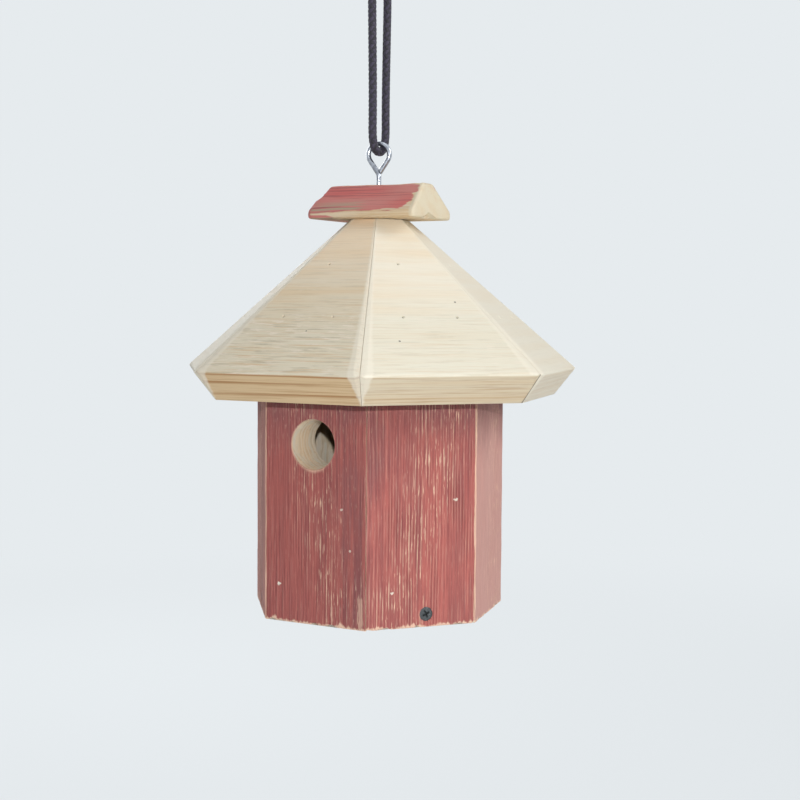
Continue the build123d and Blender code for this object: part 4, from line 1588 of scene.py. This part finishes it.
class BIRDHOUSE_OT_cap(bpy.types.Operator):
    """Carves the red cap that covers the peak"""

    bl_idname = "birdhouse.cap"
    bl_label = "Roof cap"

    top_length: length("Top length", "Length along the top", 0.0682)
    top_width: length("Top width", "Width of the flat along the top", 0.012)
    band: length("Band", "Height of the upright edge below the slopes", 0.0045)
    ease: length("Ease", "Rounding of the cap's edges", 0.0020)
    step: length("Step", "How far the upper part of the left-hand end stands back", 0.0030)
    chip_depth: length("Chip depth", "Depth of the chip under the right-hand end", 0.0035)
    chip_length: length("Chip length", "Length of that chip", 0.014)
    chip_width: length("Chip width", "Width of that chip", 0.040)
    chip_shift: length("Chip shift", "From the middle to that chip's highest place", -0.005)
    relief: length("Relief", "Height of the cap's raised grain", 0.0007)
    swell: length("Swell", "Unevenness of the cap", 0.0030)
    paint_edge: number("Paint edge", "How far up the slopes the paint starts", -0.02)
    paint_fall: number("Paint fall", "How much lower it starts at the left-hand end", 0.08)

    def chip_ceiling(self, x, y, end):
        """Height of the chip's ceiling at a place under the cap."""
        share = np.clip((x - end) / self.chip_length + 1, 1e-4, 1)
        half = self.chip_width / 2
        across = np.clip(y / share, -half, half)
        slope = np.where(
            across < self.chip_shift,
            (across + half) / (self.chip_shift + half),
            (half - across) / (half - self.chip_shift),
        )
        return share * 2 * self.chip_depth * slope - self.chip_depth

    def stations(self):
        """Places of the rings along the cap, from -1 to 1, and how far each is drawn in at the ends."""
        end_shares = (0.06, 0.25, 0.45, 0.65, 0.82)
        ease = np.linspace(0, 0.05, 5)
        rows = []
        for u in np.concatenate([-1 + ease, np.linspace(-0.94, 0.94, 64), 1 - ease[::-1]]):
            reach, depth = (0.12, 0.15) if u < 0 else (0.05, 0.08)
            near = min((1 - abs(u)) / reach, 1)
            rows.append((u, 1 - depth * (1 - math.sqrt(max(0, 1 - (1 - near) ** 2)))))
        return [(-1, s) for s in end_shares] + rows + [(1, s) for s in end_shares[::-1]]

    def rings(self, long, wide, tall):
        """Rings along the cap, which stands on z = 0 over the origin."""
        corners = (
            (-wide / 2, 0),
            (wide / 2, 0),
            (wide / 2, self.band),
            (self.top_width / 2, tall),
            (-self.top_width / 2, tall),
            (-wide / 2, self.band),
        )
        section = outline(corners, (self.ease,) * 6, (0.0012,) * 6)
        middle = np.array([0, tall * 0.42])
        rings = []
        for u, shrink in self.stations():
            y, z = (middle + (section - middle) * shrink).T
            climb = np.clip((z - self.band) / (tall - self.band), 0, 1)
            half = long / 2 - (long - self.top_length) / 2 * climb
            step = self.step * np.clip((climb - 0.42) / 0.1, 0, 1) * (u < 0)
            x = u * (half - step * abs(u) ** 6)
            z = np.maximum(z, self.chip_ceiling(x, y, long / 2))
            rings.append(np.stack([x, y, z], -1))
        return np.array(rings)

    def notes(self, mesh, foot, long, tall):
        """Notes the cap's grain places, its bare ends, and where its paint is left."""
        x, y, z = (vertices(mesh) - foot).T
        climb = (z - self.band) / (tall - self.band)
        slope = np.clip(climb, 0, 1)
        edge = self.paint_edge - self.paint_fall * np.clip(-2 * x / long - 0.2, 0, 1)
        paint = np.clip((climb - edge) / 0.4 + 0.5, 0, 1) * np.clip((1.0 - climb) / 0.16 + 0.34, 0, 1)
        right = long / 2 - 0.007 + 0.004 * slope
        paint *= np.clip((right - x) / 0.011 + 0.5, 0, 1) * np.clip((z - 0.0004) / 0.001, 0, 1)
        left_edge = np.clip((0.0024 - z) / 0.001 + 0.5, 0, 1) * np.clip((-x - 0.012) / 0.016, 0, 1)
        ends = np.abs(x) > long / 2 - 0.0025 - 0.0029 * slope
        painted_end = ends & (x < 0)
        note(mesh, "board", np.stack([y + 0.4 * z, z, x], -1))
        note(mesh, "end", ends)
        note(mesh, "paint", np.where(painted_end, 0.85, np.maximum(paint, left_edge)))
        note(mesh, "above", np.where(painted_end, 1.0, climb - edge))
        note(mesh, "relief", np.where(ends, 0.1, 1.0) * (z > 0.0004))

    def execute(self, context):
        sizes, _, colours = settings()
        low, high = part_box("roof_cap")
        long, wide, tall = high - low
        foot = np.array([0, (low.y + high.y) / 2, low.z])
        piece = skin("roof_cap_board", self.rings(long, wide, tall) + foot)
        self.notes(piece.data, foot, long, tall)
        finish = cap_paint(sizes, colours)
        raise_grain(piece, sizes.roof_grain, CAP_EVENNESS, self.relief, self.swell, CAP_SEED, finish)
        dress(piece, "roof_cap", finish, 50)
        return {"FINISHED"}


class BIRDHOUSE_OT_inside(bpy.types.Operator):
    """Makes the floor board, and finishes the block inside the peak"""

    bl_idname = "birdhouse.inside"
    bl_label = "Floor and peak block"

    slack: length("Slack", "Gap between the floor and the walls", 0.0005)
    drain: length("Drain", "How far each corner of the floor is cut back", 0.003)
    ease: length("Ease", "Ease of the floor's edges", 0.0007)

    def execute(self, context):
        sizes, hardware, colours = settings()
        house = House(sizes)
        low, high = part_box("floor_board")
        apothem = house.cavity - self.slack
        corner = apothem / math.cos(HALF) - self.drain
        clip = (corner - apothem * math.cos(HALF)) / math.sin(HALF)
        edge = np.array([(-clip, -apothem, 0.0), (clip, -apothem, 0.0)])
        plan = np.concatenate([turned(edge, 2 * HALF * side) for side in range(SIDES)])
        tuck = 1 - self.ease / apothem
        tall = high.z - low.z
        levels = ((0.3, 0), (tuck, 0), (1, self.ease), (1, tall - self.ease), (tuck, tall), (0.3, tall))
        rings = np.array([plan * (share, share, 1) + (0, 0, low.z + level) for share, level in levels])
        floor = skin("floor_board_plate", rings)
        for board in SCREWED_BOARDS:
            cut(floor, screw_cutter(house, hardware, board))
        finish = inside_wood(colours)
        dress(floor, "floor_board", finish)
        frame["nodes"]["peak_block"].material_slots[0].material = finish
        return {"FINISHED"}


STEPS = (
    BIRDHOUSE_OT_stage,
    BIRDHOUSE_OT_cord,
    BIRDHOUSE_OT_screw_eye,
    BIRDHOUSE_OT_walls,
    BIRDHOUSE_OT_roof,
    BIRDHOUSE_OT_cap,
    BIRDHOUSE_OT_inside,
    BIRDHOUSE_OT_brads,
    BIRDHOUSE_OT_floor_screws,
)


class BIRDHOUSE_PT_panel(bpy.types.Panel):
    """Steps that build the birdhouse, and its sizes and colours"""

    bl_idname = "BIRDHOUSE_PT_panel"
    bl_label = "Birdhouse"
    bl_space_type = "VIEW_3D"
    bl_region_type = "UI"
    bl_category = "Birdhouse"

    def draw(self, context):
        for step in STEPS:
            self.layout.operator(step.bl_idname)
        for group in settings():
            box = self.layout.box()
            for name in group.__annotations__:
                box.prop(group, name)


GROUPS = {
    "birdhouse_sizes": BirdhouseSizes,
    "birdhouse_hardware": BirdhouseHardware,
    "birdhouse_colours": BirdhouseColours,
}
CLASSES = (*GROUPS.values(), *STEPS, BIRDHOUSE_PT_panel)


def register():
    for cls in CLASSES:
        bpy.utils.register_class(cls)
    for name, group in GROUPS.items():
        setattr(bpy.types.Scene, name, bpy.props.PointerProperty(type=group))


def unregister():
    for name in GROUPS:
        delattr(bpy.types.Scene, name)
    for cls in reversed(CLASSES):
        bpy.utils.unregister_class(cls)


def main():
    register()
    for step in STEPS:
        family, name = step.bl_idname.split(".")
        getattr(getattr(bpy.ops, family), name)()


if __name__ == "__main__":
    main()
